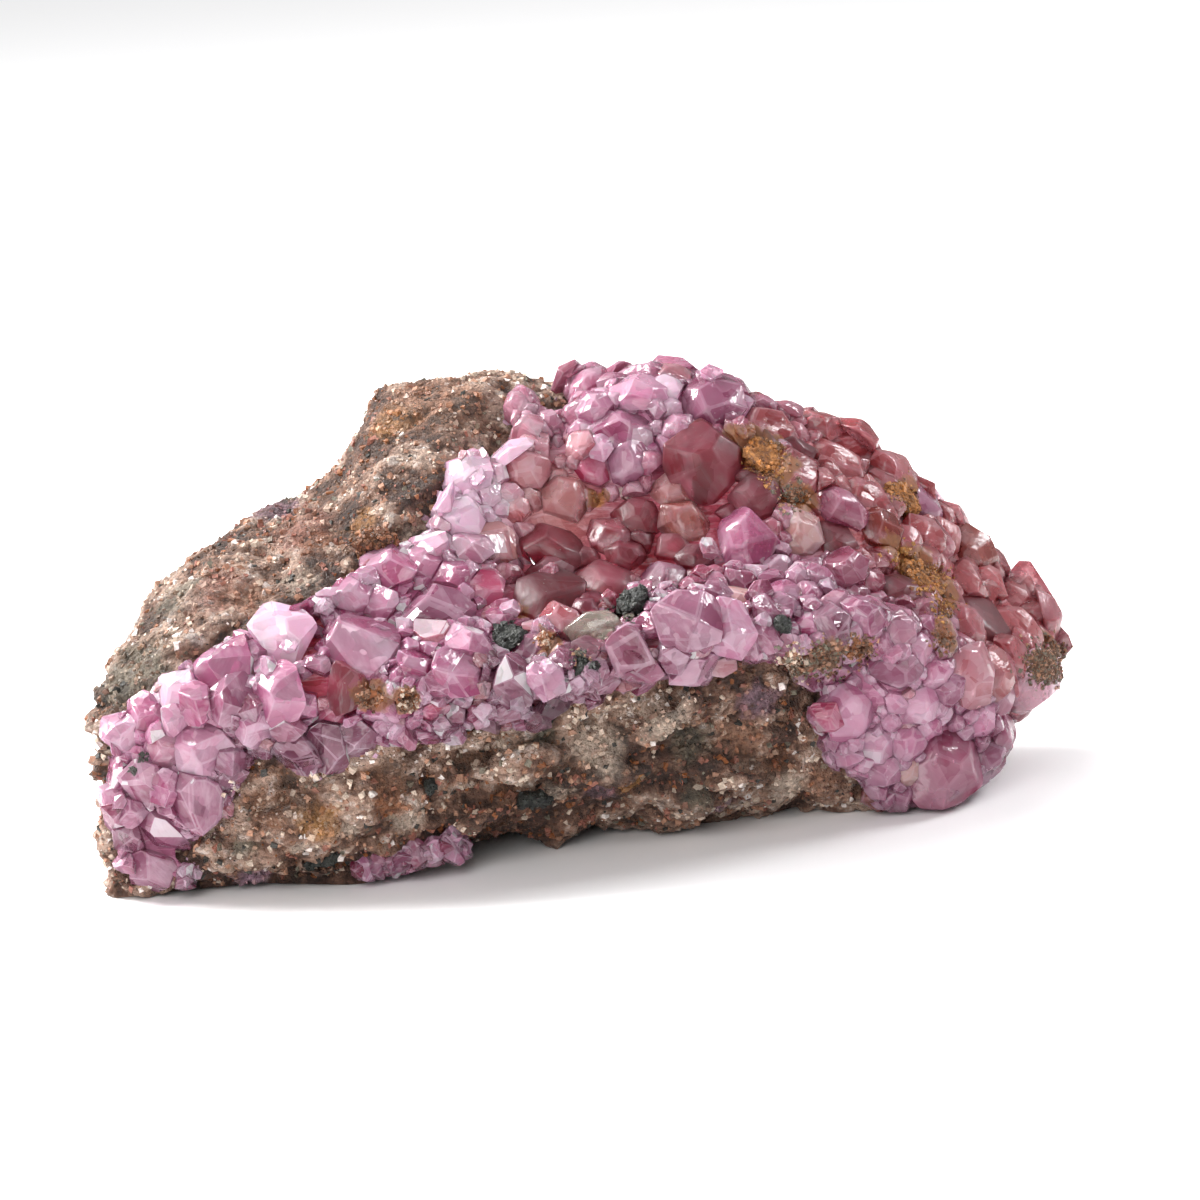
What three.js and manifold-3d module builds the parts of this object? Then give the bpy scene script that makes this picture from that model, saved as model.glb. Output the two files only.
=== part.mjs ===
// A hand-sized specimen of cobaltoan calcite: a wedge of brown host rock whose sloping front, top and
// right end carry a pink crust of blunt rhombohedral crystals.
//
// Millimetres, +X to the right along the specimen, +Y to its back, +Z up. The specimen rests on its sawn
// underside. The lines below are written from the lower left corner of the front, and the finished group
// is moved so that the origin is the middle of the box's base.
import * as THREE from 'three';
import { mergeVertices } from 'three/addons/utils/BufferGeometryUtils.js';
import { ConvexGeometry } from 'three/addons/geometries/ConvexGeometry.js';
import { LoftGeometry } from 'three/addons/geometries/LoftGeometry.js';
import { SimplifyModifier } from 'three/addons/modifiers/SimplifyModifier.js';
import Module from 'manifold-3d';

const wasm = await Module();
wasm.setup();

// Driving dimensions
const leftEnd = -2.5;          // x of the blunt left end
const rightEnd = 107;          // x of the rounded right end
const rockRightEnd = 102.5;    // the rock stops here, and crystals cover its nose
const endBulge = 0.8;          // how far the middle of each end stands out
const rimWidth = 1.4;          // bare rock left of the crust
const contactGap = 0.3;        // left between touching minerals
const crustLift = 0.35;        // the lowest crystals stop this far above the ground
const partingStep = 0.05;      // corners that touch are moved this far apart

// Rock
const rockSpacing = 5.8;       // between its sections
const ringPoints = 28;         // points round each section
const coarseBumps = { height: 1.8, size: 10 };
const fineBumps = { height: 1.2, size: 5 };

// Crust
const crustDepth = 4;          // calcite between the rock and the crust's mean surface
const layerDepth = 1.6;        // from that surface down to the layer that joins the crystals
const layerOverlap = 1.2;      // how far the layer is built into the rock before it is cut back
const crustSpacing = 7.4;      // between the layer's sections
const crustPoints = 8;         // points across the layer
const edgeMargin = 0.08;       // between the crust's edge and the nearest crystals, as places round the ring

// Crystals. Heights and depths are shares of the crystal's own width or height.
const smallerWidths = [7.4, 6.6, 5.8, 5];   // of the crystals between the largest ones
const triesPerWidth = 700;     // at finding room for one
const closeness = 0.37;        // least distance of two crystals, to the sum of their widths
const flatTipWidth = 6.2;      // crystals wider than this end flat
const flatTip = { radius: 0.19, height: 0.37 };
const sunkDepth = 0.2;         // of a crystal's middle under the surface
const rootDepth = 0.95;        // of its root under its middle
const leaning = 1.1;           // how far a crystal may lean, as the tangent of the angle
const extraHeight = 0.3;       // how much higher than wide a crystal may be
const seamCrystalWidth = 3.4;

// Shares of the triangles that stay when slivers are taken out of the crystals' union, and then out of the
// crust that is cut from it
const keptShare = 0.5;
const keptAfterCut = 0.86;

// Lines that run along the specimen, each point [x, y, z]. Together they are its outline seen from the
// left, in the order in which a section's ring meets them: up the front, over the top and down the back.
const foot = [[-2.5, 1.5, 0.6], [0, 0, 0], [12, 1, 0], [26, 2, 0.2], [35, 3, 2.4], [42, 4, 5.4], [57, 6.5, 6],
  [67, 9, 5], [76, 11.5, 3.8], [81, 13, 2], [88, 15.4, 0], [95, 19, 1], [102, 26, 9.6], [107, 38, 12]];
const band = [[-2.5, 0.6, 4.5], [10, 0, 4], [23, -0.6, 6], [31, 0.4, 8.2], [42, 1.6, 10], [57, 4.2, 11.4],
  [69, 7, 11.6], [76, 10, 9.4], [85, 12, 7.5], [94, 16, 6.5], [101, 24, 12.4], [107, 38, 12.8]];
const lip = [[-2.5, 0, 8], [10, -1.6, 9.4], [14, -2, 13], [23, -2.4, 12.2], [31, -1.4, 14.4], [40, -0.4, 15.1],
  [48, 0.6, 16.6], [56, 2.6, 18.6], [61, 3.6, 20.8], [69, 5.6, 20.6], [76, 8, 17.9], [85, 10.6, 16],
  [93, 14, 12], [100, 21, 13.6], [107, 38, 13.8]];
const ridge = [[-2.5, 0, 12], [4, -2.2, 16.9], [10, -3.4, 21], [21, -4.4, 23.6], [34, -4.4, 23.6], [43, -4, 22.4],
  [53, -2, 23.4], [63, -1, 26.6], [74, 3, 24.4], [81, 6, 24.6], [87, 9.6, 21.6], [94, 14.6, 18], [100, 22, 14.4],
  [107, 38, 14.6]];
const hollow = [[-2.5, 1, 16], [4, -0.6, 21], [12, 0.4, 26], [23, 1.4, 28.8], [36, 6, 29.6], [45, 14, 32.4],
  [54, 18, 33], [65, 16.5, 31], [74, 15.5, 29.6], [83, 17.5, 28.2], [92, 22, 23.2], [99, 28, 17.8], [107, 40, 15.8]];
const shoulder = [[-2.5, 3, 18], [4, 2.4, 24], [13, 4.4, 29], [23, 7.4, 32], [36, 15, 37.6], [42, 21, 41.6],
  [51, 26.5, 44.2], [60, 26.5, 44.4], [69, 26.5, 42.6], [78, 27.5, 38.6], [87, 30.5, 34], [95, 34, 25.6],
  [102, 38, 19.4], [107, 42, 16.8]];
const crest = [[-2.5, 11, 22], [2.8, 20, 29.8], [7.5, 25, 34.4], [15, 30, 36.6], [21, 34, 39.4], [28, 38, 43.6],
  [32, 40.5, 49], [36, 42, 50], [48, 41.5, 48.8], [56, 38, 49.2], [61, 36, 50], [68, 36, 48.2], [74, 37.5, 44.4],
  [81, 40, 41.4], [88, 42, 36.6], [95, 43, 30.4], [98, 43.5, 25.4], [102, 44.5, 22], [107, 45, 17]];
const backTop = [[-2.5, 20, 19], [8, 33, 29], [20, 42, 35], [32, 48, 42], [45, 50.5, 42], [60, 47.5, 43],
  [72, 48, 38.6], [86, 50, 32], [97, 50.5, 22.4], [107, 48, 15.8]];
const back = [[-2.5, 24, 12], [10, 38, 19], [28, 51, 22.6], [48, 55, 24], [68, 54.5, 23], [86, 55, 17.6],
  [98, 53.5, 13.6], [107, 47, 13]];
const backFoot = [[-2.5, 22, 4], [10, 34, 3], [28, 47, 3], [48, 51, 3.4], [68, 50.5, 3], [86, 50, 3.4], [98, 48, 6.6],
  [107, 45, 11.6]];
const soleBack = [[-2.5, 17, 0.4], [10, 28, -0.8], [28, 40, -1], [48, 44, -1], [68, 43, -1], [86, 42, -0.4],
  [95, 41, 2], [101, 41, 6], [107, 43, 11]];
const soleFront = [[-2.5, 8, -0.6], [10, 9, -1], [26, 10, -1], [35, 17, -1], [43, 23, -1], [57, 25, -1], [69, 26, -1],
  [80, 24, -0.6], [90, 26, 0.4], [99, 31, 5.2], [107, 40, 11]];
const lines = [foot, band, lip, ridge, hollow, shoulder, crest, backTop, back, backFoot, soleBack, soleFront];
const crestPlace = lines.indexOf(crest);

// The crust's two edges, each point [x, place round the ring], where the place counts the lines above:
// 2 is the lip and 6 the crest
const crustStart = [[-2.5, 0.9], [6, 0.7], [10, 1.4], [15, 2], [76, 2], [79, 1.4], [82, 0.2], [88, -0.8], [107, -2.2]];
const crustEnd = [[-2.5, 4.7], [34, 5], [42, 5.3], [50, 5.8], [58, 6.5], [70, 6.8], [84, 6.8], [96, 7], [107, 7.5]];

// The largest crystals, each [x, z, width], placed where they stand on the front
const mainCrystals = [
  [14.5, 27, 8], [20.5, 29, 6.6], [9.6, 25.4, 5.8], [20.6, 23, 5.8], [11.6, 15.6, 7], [6, 20, 5.6], [8, 9, 6.6],
  [6.6, 3, 6.4], [14, 4, 6], [29.4, 28, 7.6], [38.6, 31, 8.2], [27, 23.2, 6], [26.4, 17.6, 5.6], [41, 24.6, 5.6],
  [47, 22.4, 5.8], [45.4, 38.6, 5.8], [49.6, 33, 8], [51.6, 38.6, 6.4], [57, 33.6, 8], [59.6, 41, 5.8],
  [66.4, 40.6, 5.8], [64.8, 44, 5.8], [60, 47, 6.8], [69.4, 46.6, 8.6], [61.6, 50, 6.8], [68.8, 51.4, 7.6],
  [65.4, 29.4, 7.2], [70.6, 28.8, 5.6], [71.8, 37.6, 6.4], [71.6, 32, 5.6], [77, 44, 6.6], [81.6, 44, 5.8],
  [84.4, 41.4, 8], [92.6, 37, 6.6], [84.4, 36.6, 5.6], [83.4, 33, 5.6], [90.4, 28.4, 6.2], [97.6, 31, 6.6],
  [99.4, 24.4, 8], [104.6, 26, 5.8], [96, 16, 5.8], [97, 8, 8.6], [86.6, 14, 6.6], [92.6, 15, 5.6], [92.4, 4.4, 6],
  [102.6, 16.4, 6],
];

// Other minerals, each set into a pocket that fits it: centre [x, z] on the front, then its width, height
// and depth, and its slope in degrees
const inclusions = [
  { name: 'dark_grain_seam', at: [22, 3.4], size: [6, 2, 3], slope: 18, color: 0x26281f },
  { name: 'dark_grain_band', at: [45.5, 7.8], size: [4.8, 1.9, 3], slope: -4, color: 0x2a2c22 },
  { name: 'dark_grain_small', at: [34, 11.1], size: [2.2, 2.2, 2.4], slope: 0, color: 0x30322a },
  { name: 'dark_grain_ridge', at: [44, 26.6], size: [3.6, 4.2, 4], slope: -30, color: 0x2b332c },
  { name: 'dark_grain_above_plate', at: [57.4, 28.4], size: [3.6, 4.4, 4], slope: 30, color: 0x2b332c },
  { name: 'dark_grain_below_plate', at: [51.5, 23.6], size: [4.4, 1.8, 3], slope: 10, color: 0x2b332c },
  { name: 'dark_grain_right', at: [74, 25.4], size: [1.8, 3.6, 3], slope: 25, color: 0x2b332c },
  { name: 'clear_calcite_plate', at: [52.5, 26.4], size: [7.4, 4, 4], slope: 20, color: 0xb9ab93 },
  { name: 'limonite_upper', at: [74.5, 39.7], size: [5.4, 4.4, 4.6], slope: -30, color: 0xa8692c },
  { name: 'limonite_top_right', at: [90, 32.9], size: [3.2, 6, 4.6], slope: 35, color: 0x9a6430 },
  { name: 'limonite_right', at: [91.5, 25.4], size: [4, 7, 4.6], slope: 25, color: 0xb4682c },
];
const rosette = { name: 'brown_oxide_rosette', at: [29.5, 35.5], size: [5.4, 5, 3], slope: 20, color: 0x5a3a26 };

// Ledges and lumps of the rock, most of them in the bare band along the front. The first is the tongue
// between the crust's two lobes, and the second the nub at the right end.
const rockLumps = [
  { at: [80, 17.4], size: [15, 4.6, 7], slope: 30 },
  { at: [105.6, 15], size: [5, 6.4, 6], slope: 0 },
  { at: [21, 8.6], size: [11, 4.4, 4.4], slope: 12 },
  { at: [43, 12.6], size: [15, 2.6, 4], slope: 8 },
  { at: [40, 7.2], size: [9, 3, 3.6], slope: 12 },
  { at: [53, 10], size: [12, 3.2, 4], slope: 10 },
  { at: [60, 15.6], size: [13, 4.2, 4.4], slope: 22 },
  { at: [66, 8.4], size: [12, 3.4, 4], slope: -4 },
  { at: [19, 2.4], size: [10, 2.6, 3], slope: 2 },
];

// Flat faces along which the rock broke, on its back and left: a point of each, and where it faces
const fractures = [
  { at: [16, 41.4, 16], facing: [-0.5, 0.82, 0.12] },
  { at: [4, 26, 14], facing: [-0.86, 0.5, 0.1] },
  { at: [40, 53, 12], facing: [-0.05, 0.93, -0.36] },
  { at: [34, 49, 34], facing: [-0.12, 0.86, 0.5] },
  { at: [66, 53.4, 20], facing: [0.14, 0.98, 0.1] },
  { at: [60, 49, 34], facing: [0.1, 0.85, 0.52] },
  { at: [76, 51, 9], facing: [0.3, 0.82, -0.48] },
];

// A thin seam of calcite crystals under the band: its body, and the x where each crystal stands
const seam = { at: [31, 2.6], size: [13, 2.6, 4], slope: 6 };
const seamCrystals = [26, 28, 30, 32, 34, 36];
const seamRise = 0.1;          // the seam's height gained along X

// The line's y and z at x, on a smooth curve through its points
function onLine(line, x) {
  const last = line.length - 1;
  let i = 0;
  while (i < last - 1 && line[i + 1][0] < x) i++;
  const [a, b] = [line[i], line[i + 1]];
  const before = line[Math.max(i - 1, 0)];
  const after = line[Math.min(i + 2, last)];
  const t = THREE.MathUtils.clamp((x - a[0]) / (b[0] - a[0]), 0, 1);
  const span = b[0] - a[0];
  return a.slice(1).map((value, k) => {
    const slopeA = (b[k + 1] - before[k + 1]) / Math.max(b[0] - before[0], 1e-6) * span;
    const slopeB = (after[k + 1] - value) / Math.max(after[0] - a[0], 1e-6) * span;
    const t2 = t * t;
    const t3 = t2 * t;
    return (2 * t3 - 3 * t2 + 1) * value + (t3 - 2 * t2 + t) * slopeA
      + (3 * t2 - 2 * t3) * b[k + 1] + (t3 - t2) * slopeB;
  });
}

// A repeatable random number for whole numbers
function hash(...keys) {
  let h = 2166136261;
  for (const key of keys) h = Math.imul(h ^ (key * 374761393 | 0), 16777619) ^ (h >>> 13);
  return ((h ^ (h >>> 16)) >>> 0) / 4294967296;
}

// Smooth noise from -1 to 1, with lumps of the given size
function noise(point, size) {
  const cell = [point.x, point.y, point.z].map((v) => Math.floor(v / size));
  const part = [point.x, point.y, point.z].map((v, k) => THREE.MathUtils.smoothstep(v / size - cell[k], 0, 1));
  let sum = 0;
  for (let corner = 0; corner < 8; corner++) {
    const step = [corner & 1, (corner >> 1) & 1, (corner >> 2) & 1];
    const weight = step.reduce((w, s, k) => w * (s ? part[k] : 1 - part[k]), 1);
    sum += weight * hash(...cell.map((c, k) => c + step[k]));
  }
  return 2 * sum - 1;
}

// The section's ring at x, as a closed smooth curve through the lines
const rings = new Map();
function ringAt(x) {
  if (!rings.has(x)) {
    const points = lines.map((line) => new THREE.Vector3(x, ...onLine(line, x)));
    const curve = new THREE.CatmullRomCurve3(points, true, 'centripetal');
    const middle = points.reduce((sum, p) => sum.add(p), new THREE.Vector3()).divideScalar(points.length);
    rings.set(x, { curve, middle });
  }
  return rings.get(x);
}

// A point of the specimen's mean surface, at a place round the ring, and its outward normal
function surface(x, place) {
  const { curve, middle } = ringAt(x);
  const t = THREE.MathUtils.euclideanModulo(place / lines.length, 1);
  const point = curve.getPoint(t);
  const along = curve.getTangent(t);
  const normal = new THREE.Vector3(0, -along.z, along.y);
  if (normal.dot(point.clone().sub(middle)) < 0) normal.negate();
  return { point, normal: normal.normalize(), middle };
}

// The surface's full normal, which also leans along X
function leaningNormal(x, place) {
  const step = 0.8;
  const ahead = surface(Math.min(x + step, rightEnd), place).point;
  const behind = surface(Math.max(x - step, leftEnd), place).point;
  const across = surface(x, place + 0.05).point.sub(surface(x, place - 0.05).point);
  const normal = ahead.sub(behind).cross(across).normalize();
  return normal.dot(surface(x, place).normal) < 0 ? normal.negate() : normal;
}

// How far the crust covers the surface there, from 0 to 1
function coverage(x, place) {
  const from = onLine(crustStart, x)[0];
  const to = onLine(crustEnd, x)[0];
  const turns = lines.length;
  const inward = THREE.MathUtils.euclideanModulo(place - from + turns / 4, turns) - turns / 4;
  const edge = Math.min(inward, to - from - inward);
  return THREE.MathUtils.smoothstep(edge, -0.12, 0.35);
}

// The rock's ring at x, set back under the crust and grown outwards by the given amount
function rockRing(x, grow) {
  const alongRock = THREE.MathUtils.mapLinear(x, leftEnd, rightEnd, leftEnd, rockRightEnd);
  const ring = [];
  for (let i = 0; i < ringPoints; i++) {
    const place = i / ringPoints * lines.length;
    const { point, normal, middle } = surface(x, place);
    const covered = coverage(x, place);
    const bumps = [coarseBumps, fineBumps].reduce((sum, bump) => sum + bump.height * noise(point, bump.size), 0);
    const inset = Math.min(crustDepth * covered / point.distanceTo(middle), 0.6);
    point.addScaledVector(normal, (1 - covered) * bumps + grow).lerp(middle, inset);
    point.x = alongRock;
    ring.unshift(point);
  }
  return ring;
}

function stations(from, to, spacing) {
  const count = Math.round((to - from) / spacing);
  return Array.from({ length: count + 1 }, (_, i) => THREE.MathUtils.lerp(from, to, i / count));
}

// A closed mesh as a solid. Where a loft closes on a point or a line, its flat triangles are dropped.
function toSolid(geometry) {
  const bare = new THREE.BufferGeometry();
  bare.setAttribute('position', geometry.attributes.position);
  bare.setIndex(geometry.index);
  const merged = mergeVertices(bare, 1e-4);
  const triangles = [];
  for (let i = 0; i < merged.index.count; i += 3) {
    const triangle = Array.from(merged.index.array.slice(i, i + 3));
    if (new Set(triangle).size === 3) triangles.push(...triangle);
  }
  return new wasm.Manifold(new wasm.Mesh({
    numProp: 3,
    vertProperties: new Float32Array(merged.attributes.position.array),
    triVerts: new Uint32Array(triangles),
  }));
}

function toGeometry(solid) {
  const { vertProperties, triVerts, numProp } = solid.getMesh();
  const geometry = new THREE.BufferGeometry();
  const positions = new Float32Array(vertProperties.length / numProp * 3);
  for (let i = 0; i < positions.length / 3; i++) {
    for (let k = 0; k < 3; k++) positions[i * 3 + k] = vertProperties[i * numProp + k];
  }
  geometry.setAttribute('position', new THREE.BufferAttribute(positions, 3));
  geometry.setIndex(new THREE.BufferAttribute(new Uint32Array(triVerts), 1));
  geometry.computeVertexNormals();
  return geometry;
}

// The largest body of a solid, without the chips that a cut leaves loose
function largestBody(solid) {
  const bodies = solid.decompose();
  return bodies.reduce((best, body) => (body.volume() > best.volume() ? body : best));
}

// A ring drawn in to its middle, moved along X
function closingPoint(ring, shift) {
  const centre = ring.reduce((sum, p) => sum.add(p), new THREE.Vector3()).divideScalar(ring.length);
  centre.x += shift;
  return ring.map(() => centre.clone());
}

// The rock as one loft
function rockSolid(grow) {
  const sections = stations(leftEnd, rightEnd, rockSpacing).map((x) => rockRing(x, grow));
  const left = closingPoint(sections[0], -endBulge - grow);
  const right = closingPoint(sections[sections.length - 1], endBulge + grow);
  return toSolid(new LoftGeometry([left, ...sections, right]));
}

// A section of the crust's layer: an arc under the crystals, and one back inside the rock
function crustSection(x) {
  const from = onLine(crustStart, x)[0];
  const to = onLine(crustEnd, x)[0];
  const over = [];
  const under = [];
  for (let i = 0; i < crustPoints; i++) {
    const { point, normal, middle } = surface(x, THREE.MathUtils.lerp(from, to, i / (crustPoints - 1)));
    const reach = point.distanceTo(middle);
    over.unshift(point.clone().addScaledVector(normal, -Math.min(layerDepth, 0.3 * reach)));
    under.push(point.clone().lerp(middle, Math.min((crustDepth + layerOverlap) / reach, 0.9)));
  }
  return over.concat(under);
}

// A section of the crust's layer with its two arcs drawn together on the line between them
function closingArc(section, shift) {
  return section.map((p, i) => {
    const facing = section[section.length - 1 - i];
    return p.clone().lerp(facing, 0.5).setX(p.x + shift);
  });
}

// The layer that the crystals grow from
function crustLayer() {
  const sections = stations(leftEnd + rimWidth + endBulge, rightEnd, crustSpacing).map(crustSection);
  const left = closingArc(sections[0], -endBulge);
  const right = closingArc(sections[sections.length - 1], endBulge);
  return toSolid(new LoftGeometry([left, ...sections, right]));
}

// A blunt rhombohedron on a long root: three faces round its tip, and six corners that zigzag round its
// shoulders. A large crystal's tip is cut off flat.
function crystalSolid(centre, axis, width, height, spin) {
  const around = (i, radius, z) => {
    const angle = i * Math.PI / 3 + spin;
    return new THREE.Vector3(Math.cos(angle) * radius, Math.sin(angle) * radius, z);
  };
  const corners = [new THREE.Vector3(0, 0, -height * rootDepth)];
  for (let i = 0; i < 6; i++) corners.push(around(i, width / 2, (i % 2 ? 1 : -1) * height / 6));
  if (width > flatTipWidth) {
    for (let i = 1; i < 6; i += 2) corners.push(around(i, width * flatTip.radius, height * flatTip.height));
  } else {
    corners.push(new THREE.Vector3(0, 0, height / 2));
  }
  const turn = new THREE.Quaternion().setFromUnitVectors(new THREE.Vector3(0, 0, 1), axis);
  for (const corner of corners) corner.applyQuaternion(turn).add(centre);
  return toSolid(new ConvexGeometry(corners));
}

// The place round the ring, from the foot up to the crest, where the front stands at height z
function placeOnFront(x, z) {
  let best = 0;
  let bestError = Infinity;
  for (let place = 0; place <= crestPlace; place += 0.05) {
    const error = Math.abs(surface(x, place).point.z - z);
    if (error < bestError) {
      best = place;
      bestError = error;
    }
  }
  return best;
}

// One crystal that leans away from the surface's normal by a random amount
function crystalOn(x, place, width, key) {
  const normal = leaningNormal(x, place);
  const centre = surface(x, place).point.addScaledVector(normal, -sunkDepth * width);
  const lean = new THREE.Vector3(hash(key, 1) - 0.5, hash(key, 2) - 0.5, hash(key, 3) - 0.5);
  const axis = normal.clone().addScaledVector(lean, leaning).normalize();
  const height = width * (1 + extraHeight * hash(key, 4));
  return { centre, width, solid: crystalSolid(centre, axis, width, height, hash(key, 5) * 2 * Math.PI) };
}

// Smaller crystals between the main ones, over the whole crust, the wider ones first. The golden ratio
// spreads them evenly along X.
function spreadOver(placed) {
  const goldenRatio = 0.6180339887;
  smallerWidths.forEach((width, pass) => {
    for (let i = 0; i < triesPerWidth; i++) {
      const key = pass * triesPerWidth + i;
      const x = THREE.MathUtils.lerp(leftEnd + rimWidth + 1.2, rightEnd - 0.4, (0.5 + key * goldenRatio) % 1);
      const from = onLine(crustStart, x)[0] + edgeMargin;
      const to = onLine(crustEnd, x)[0] - edgeMargin;
      const place = THREE.MathUtils.lerp(from, to, hash(key, 7));
      const here = surface(x, place).point;
      const hasRoom = (other) => other.centre.distanceTo(here) > closeness * (other.width + width);
      if (placed.every(hasRoom)) placed.push(crystalOn(x, place, width, 1000 + key));
    }
  });
  return placed;
}

// A faceted lump, flattened and turned in the front plane
function lump({ at: [x, z], size: [wide, high, deep], slope }, grow, key) {
  const place = placeOnFront(x, z);
  const { point, normal } = surface(x, place);
  const geometry = new THREE.IcosahedronGeometry(1, 0);
  const position = geometry.attributes.position;
  const corner = new THREE.Vector3();
  for (let i = 0; i < position.count; i++) {
    corner.fromBufferAttribute(position, i);
    const shrink = 1 + 0.22 * noise(corner.clone().multiplyScalar(3).addScalar(key * 9), 2);
    corner.multiplyScalar(shrink);
    position.setXYZ(i, ...corner);
  }
  geometry.scale(wide / 2 + grow, deep / 2 + grow, high / 2 + grow);
  geometry.rotateY(-THREE.MathUtils.degToRad(slope));
  geometry.rotateX(Math.atan2(normal.z, -normal.y) * 0.8);
  geometry.translate(point.x, point.y, point.z);
  return toSolid(geometry);
}

// A solid with about the given share of its triangles, its slivers and shortest edges gone
async function simplified(solid, share) {
  const geometry = toGeometry(solid);
  geometry.deleteAttribute('normal');
  const spare = geometry.attributes.position.count * (1 - share);
  return toSolid(await new SimplifyModifier().modify(geometry, Math.round(spare)));
}

// Where two corners of the surface meet in one place, each is moved a little towards its own triangles
function partTouchingCorners(geometry) {
  const { position } = geometry.attributes;
  const cornerAt = (i) => new THREE.Vector3().fromBufferAttribute(position, i);
  const owners = new Map();
  for (let i = 0; i < position.count; i++) {
    const place = cornerAt(i).toArray().map((v) => v.toFixed(4)).join();
    owners.set(place, [...(owners.get(place) ?? []), i]);
  }
  const touching = new Set([...owners.values()].filter((list) => list.length > 1).flat());
  const pulls = new Map([...touching].map((i) => [i, new THREE.Vector3()]));
  const { array } = geometry.index;
  for (let t = 0; t < array.length; t += 3) {
    const corners = [array[t], array[t + 1], array[t + 2]];
    const middle = corners.reduce((sum, i) => sum.add(cornerAt(i)), new THREE.Vector3()).divideScalar(3);
    for (const i of corners) pulls.get(i)?.add(middle.clone().sub(cornerAt(i)));
  }
  for (const [i, pull] of pulls) position.setXYZ(i, ...cornerAt(i).add(pull.setLength(partingStep)));
  return geometry;
}

function boxSolid(size, centre) {
  return toSolid(new THREE.BoxGeometry(...size).translate(...centre));
}

// Everything beyond a fracture's plane, in reach of the specimen
function beyond({ at, facing }) {
  const size = 200;
  const turn = new THREE.Quaternion().setFromUnitVectors(new THREE.Vector3(0, 0, 1), new THREE.Vector3(...facing).normalize());
  const geometry = new THREE.BoxGeometry(size, size, size).translate(0, 0, size / 2);
  return toSolid(geometry.applyQuaternion(turn).translate(...at));
}

const specimen = new THREE.Group();

function addMesh(name, solid, color, roughness) {
  const material = new THREE.MeshStandardMaterial({ color, roughness, metalness: 0 });
  const mesh = new THREE.Mesh(partTouchingCorners(toGeometry(solid)), material);
  mesh.name = name;
  specimen.add(mesh);
}

const joined = (solids) => solids.reduce((sum, solid) => sum.add(solid));
const without = (solid, cuts) => cuts.reduce((rest, cut) => rest.subtract(cut), solid);

// The minerals that sit in pockets, and the pockets
const pieces = [...inclusions, rosette];
const pockets = pieces.map((piece, i) => lump(piece, contactGap, i));
const seamKey = 50;
const seamPocket = lump(seam, contactGap, seamKey);

// Host rock
const ground = boxSolid([300, 200, 40], [50, 30, -20]);
const raisedGround = ground.translate([0, 0, crustLift]);
const rockWithLumps = (grow) => joined([rockSolid(grow), ...rockLumps.map((piece, i) => lump(piece, grow, 20 + i))]);
const rock = largestBody(without(rockWithLumps(0), [ground, ...fractures.map(beyond), ...pockets, seamPocket]));
addMesh('host_rock', rock, 0x8a7464, 0.9);

// The crust: its layer and every crystal, cut back from the rock, the ground and the other minerals
const rockRoom = rockWithLumps(contactGap);
const mainOnes = mainCrystals.map(([x, z, width], i) => crystalOn(x, placeOnFront(x, z), width, i));
const crystals = spreadOver(mainOnes).map((crystal) => crystal.solid);
const grown = await simplified(joined([crustLayer(), ...crystals]), keptShare);
const crust = largestBody(without(grown, [rockRoom, raisedGround, ...pockets]));
addMesh('calcite_druse', largestBody(await simplified(crust, keptAfterCut)), 0xb8708f, 0.35);

// The seam: its body and its crystals
const seamRow = joined(seamCrystals.map((x, i) => {
  const z = seam.at[1] + seamRise * (x - seam.at[0]);
  return crystalOn(x, placeOnFront(x, z), seamCrystalWidth, 3000 + i).solid;
}));
const seamSolid = without(seamRow, [rockRoom]).add(lump(seam, 0, seamKey)).subtract(raisedGround);
addMesh('seam_calcite', largestBody(seamSolid), 0xab86a0, 0.4);

// The other minerals
pieces.forEach((piece, i) => {
  addMesh(piece.name, lump(piece, 0, i), piece.color, piece.name === 'clear_calcite_plate' ? 0.25 : 0.8);
});

// The origin goes to the middle of the box's base
const box = new THREE.Box3().setFromObject(specimen);
const middle = box.getCenter(new THREE.Vector3());
for (const mesh of specimen.children) mesh.position.set(-middle.x, -middle.y, -box.min.z);

export default specimen;
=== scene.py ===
# Cobaltoan calcite specimen: a pink crust of calcite crystals on a wedge of brown host rock
import math
import random

import bmesh
import bpy
from mathutils import Matrix, Quaternion, Vector, noise
from mathutils.bvhtree import BVHTree


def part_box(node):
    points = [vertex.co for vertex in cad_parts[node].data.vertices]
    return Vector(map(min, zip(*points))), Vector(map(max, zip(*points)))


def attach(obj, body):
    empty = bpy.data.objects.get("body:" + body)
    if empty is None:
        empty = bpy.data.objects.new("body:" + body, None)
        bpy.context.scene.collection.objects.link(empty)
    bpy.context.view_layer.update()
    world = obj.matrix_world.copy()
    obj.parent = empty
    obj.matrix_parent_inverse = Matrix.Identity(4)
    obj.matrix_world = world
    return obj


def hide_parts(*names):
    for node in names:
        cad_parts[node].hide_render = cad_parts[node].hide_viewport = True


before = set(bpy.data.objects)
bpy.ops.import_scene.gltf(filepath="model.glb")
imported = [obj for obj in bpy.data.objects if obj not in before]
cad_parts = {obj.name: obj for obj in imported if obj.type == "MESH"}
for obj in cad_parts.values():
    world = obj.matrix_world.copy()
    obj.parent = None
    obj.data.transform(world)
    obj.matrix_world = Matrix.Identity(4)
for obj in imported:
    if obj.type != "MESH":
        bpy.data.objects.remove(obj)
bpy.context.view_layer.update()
mm = 0.001
scene = bpy.context.scene
noiseSeed = 4                                  # unseeded, noise_vector would change from run to run
noise.seed_set(noiseSeed)
print("frame loaded")


# Camera at the photograph's view

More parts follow.
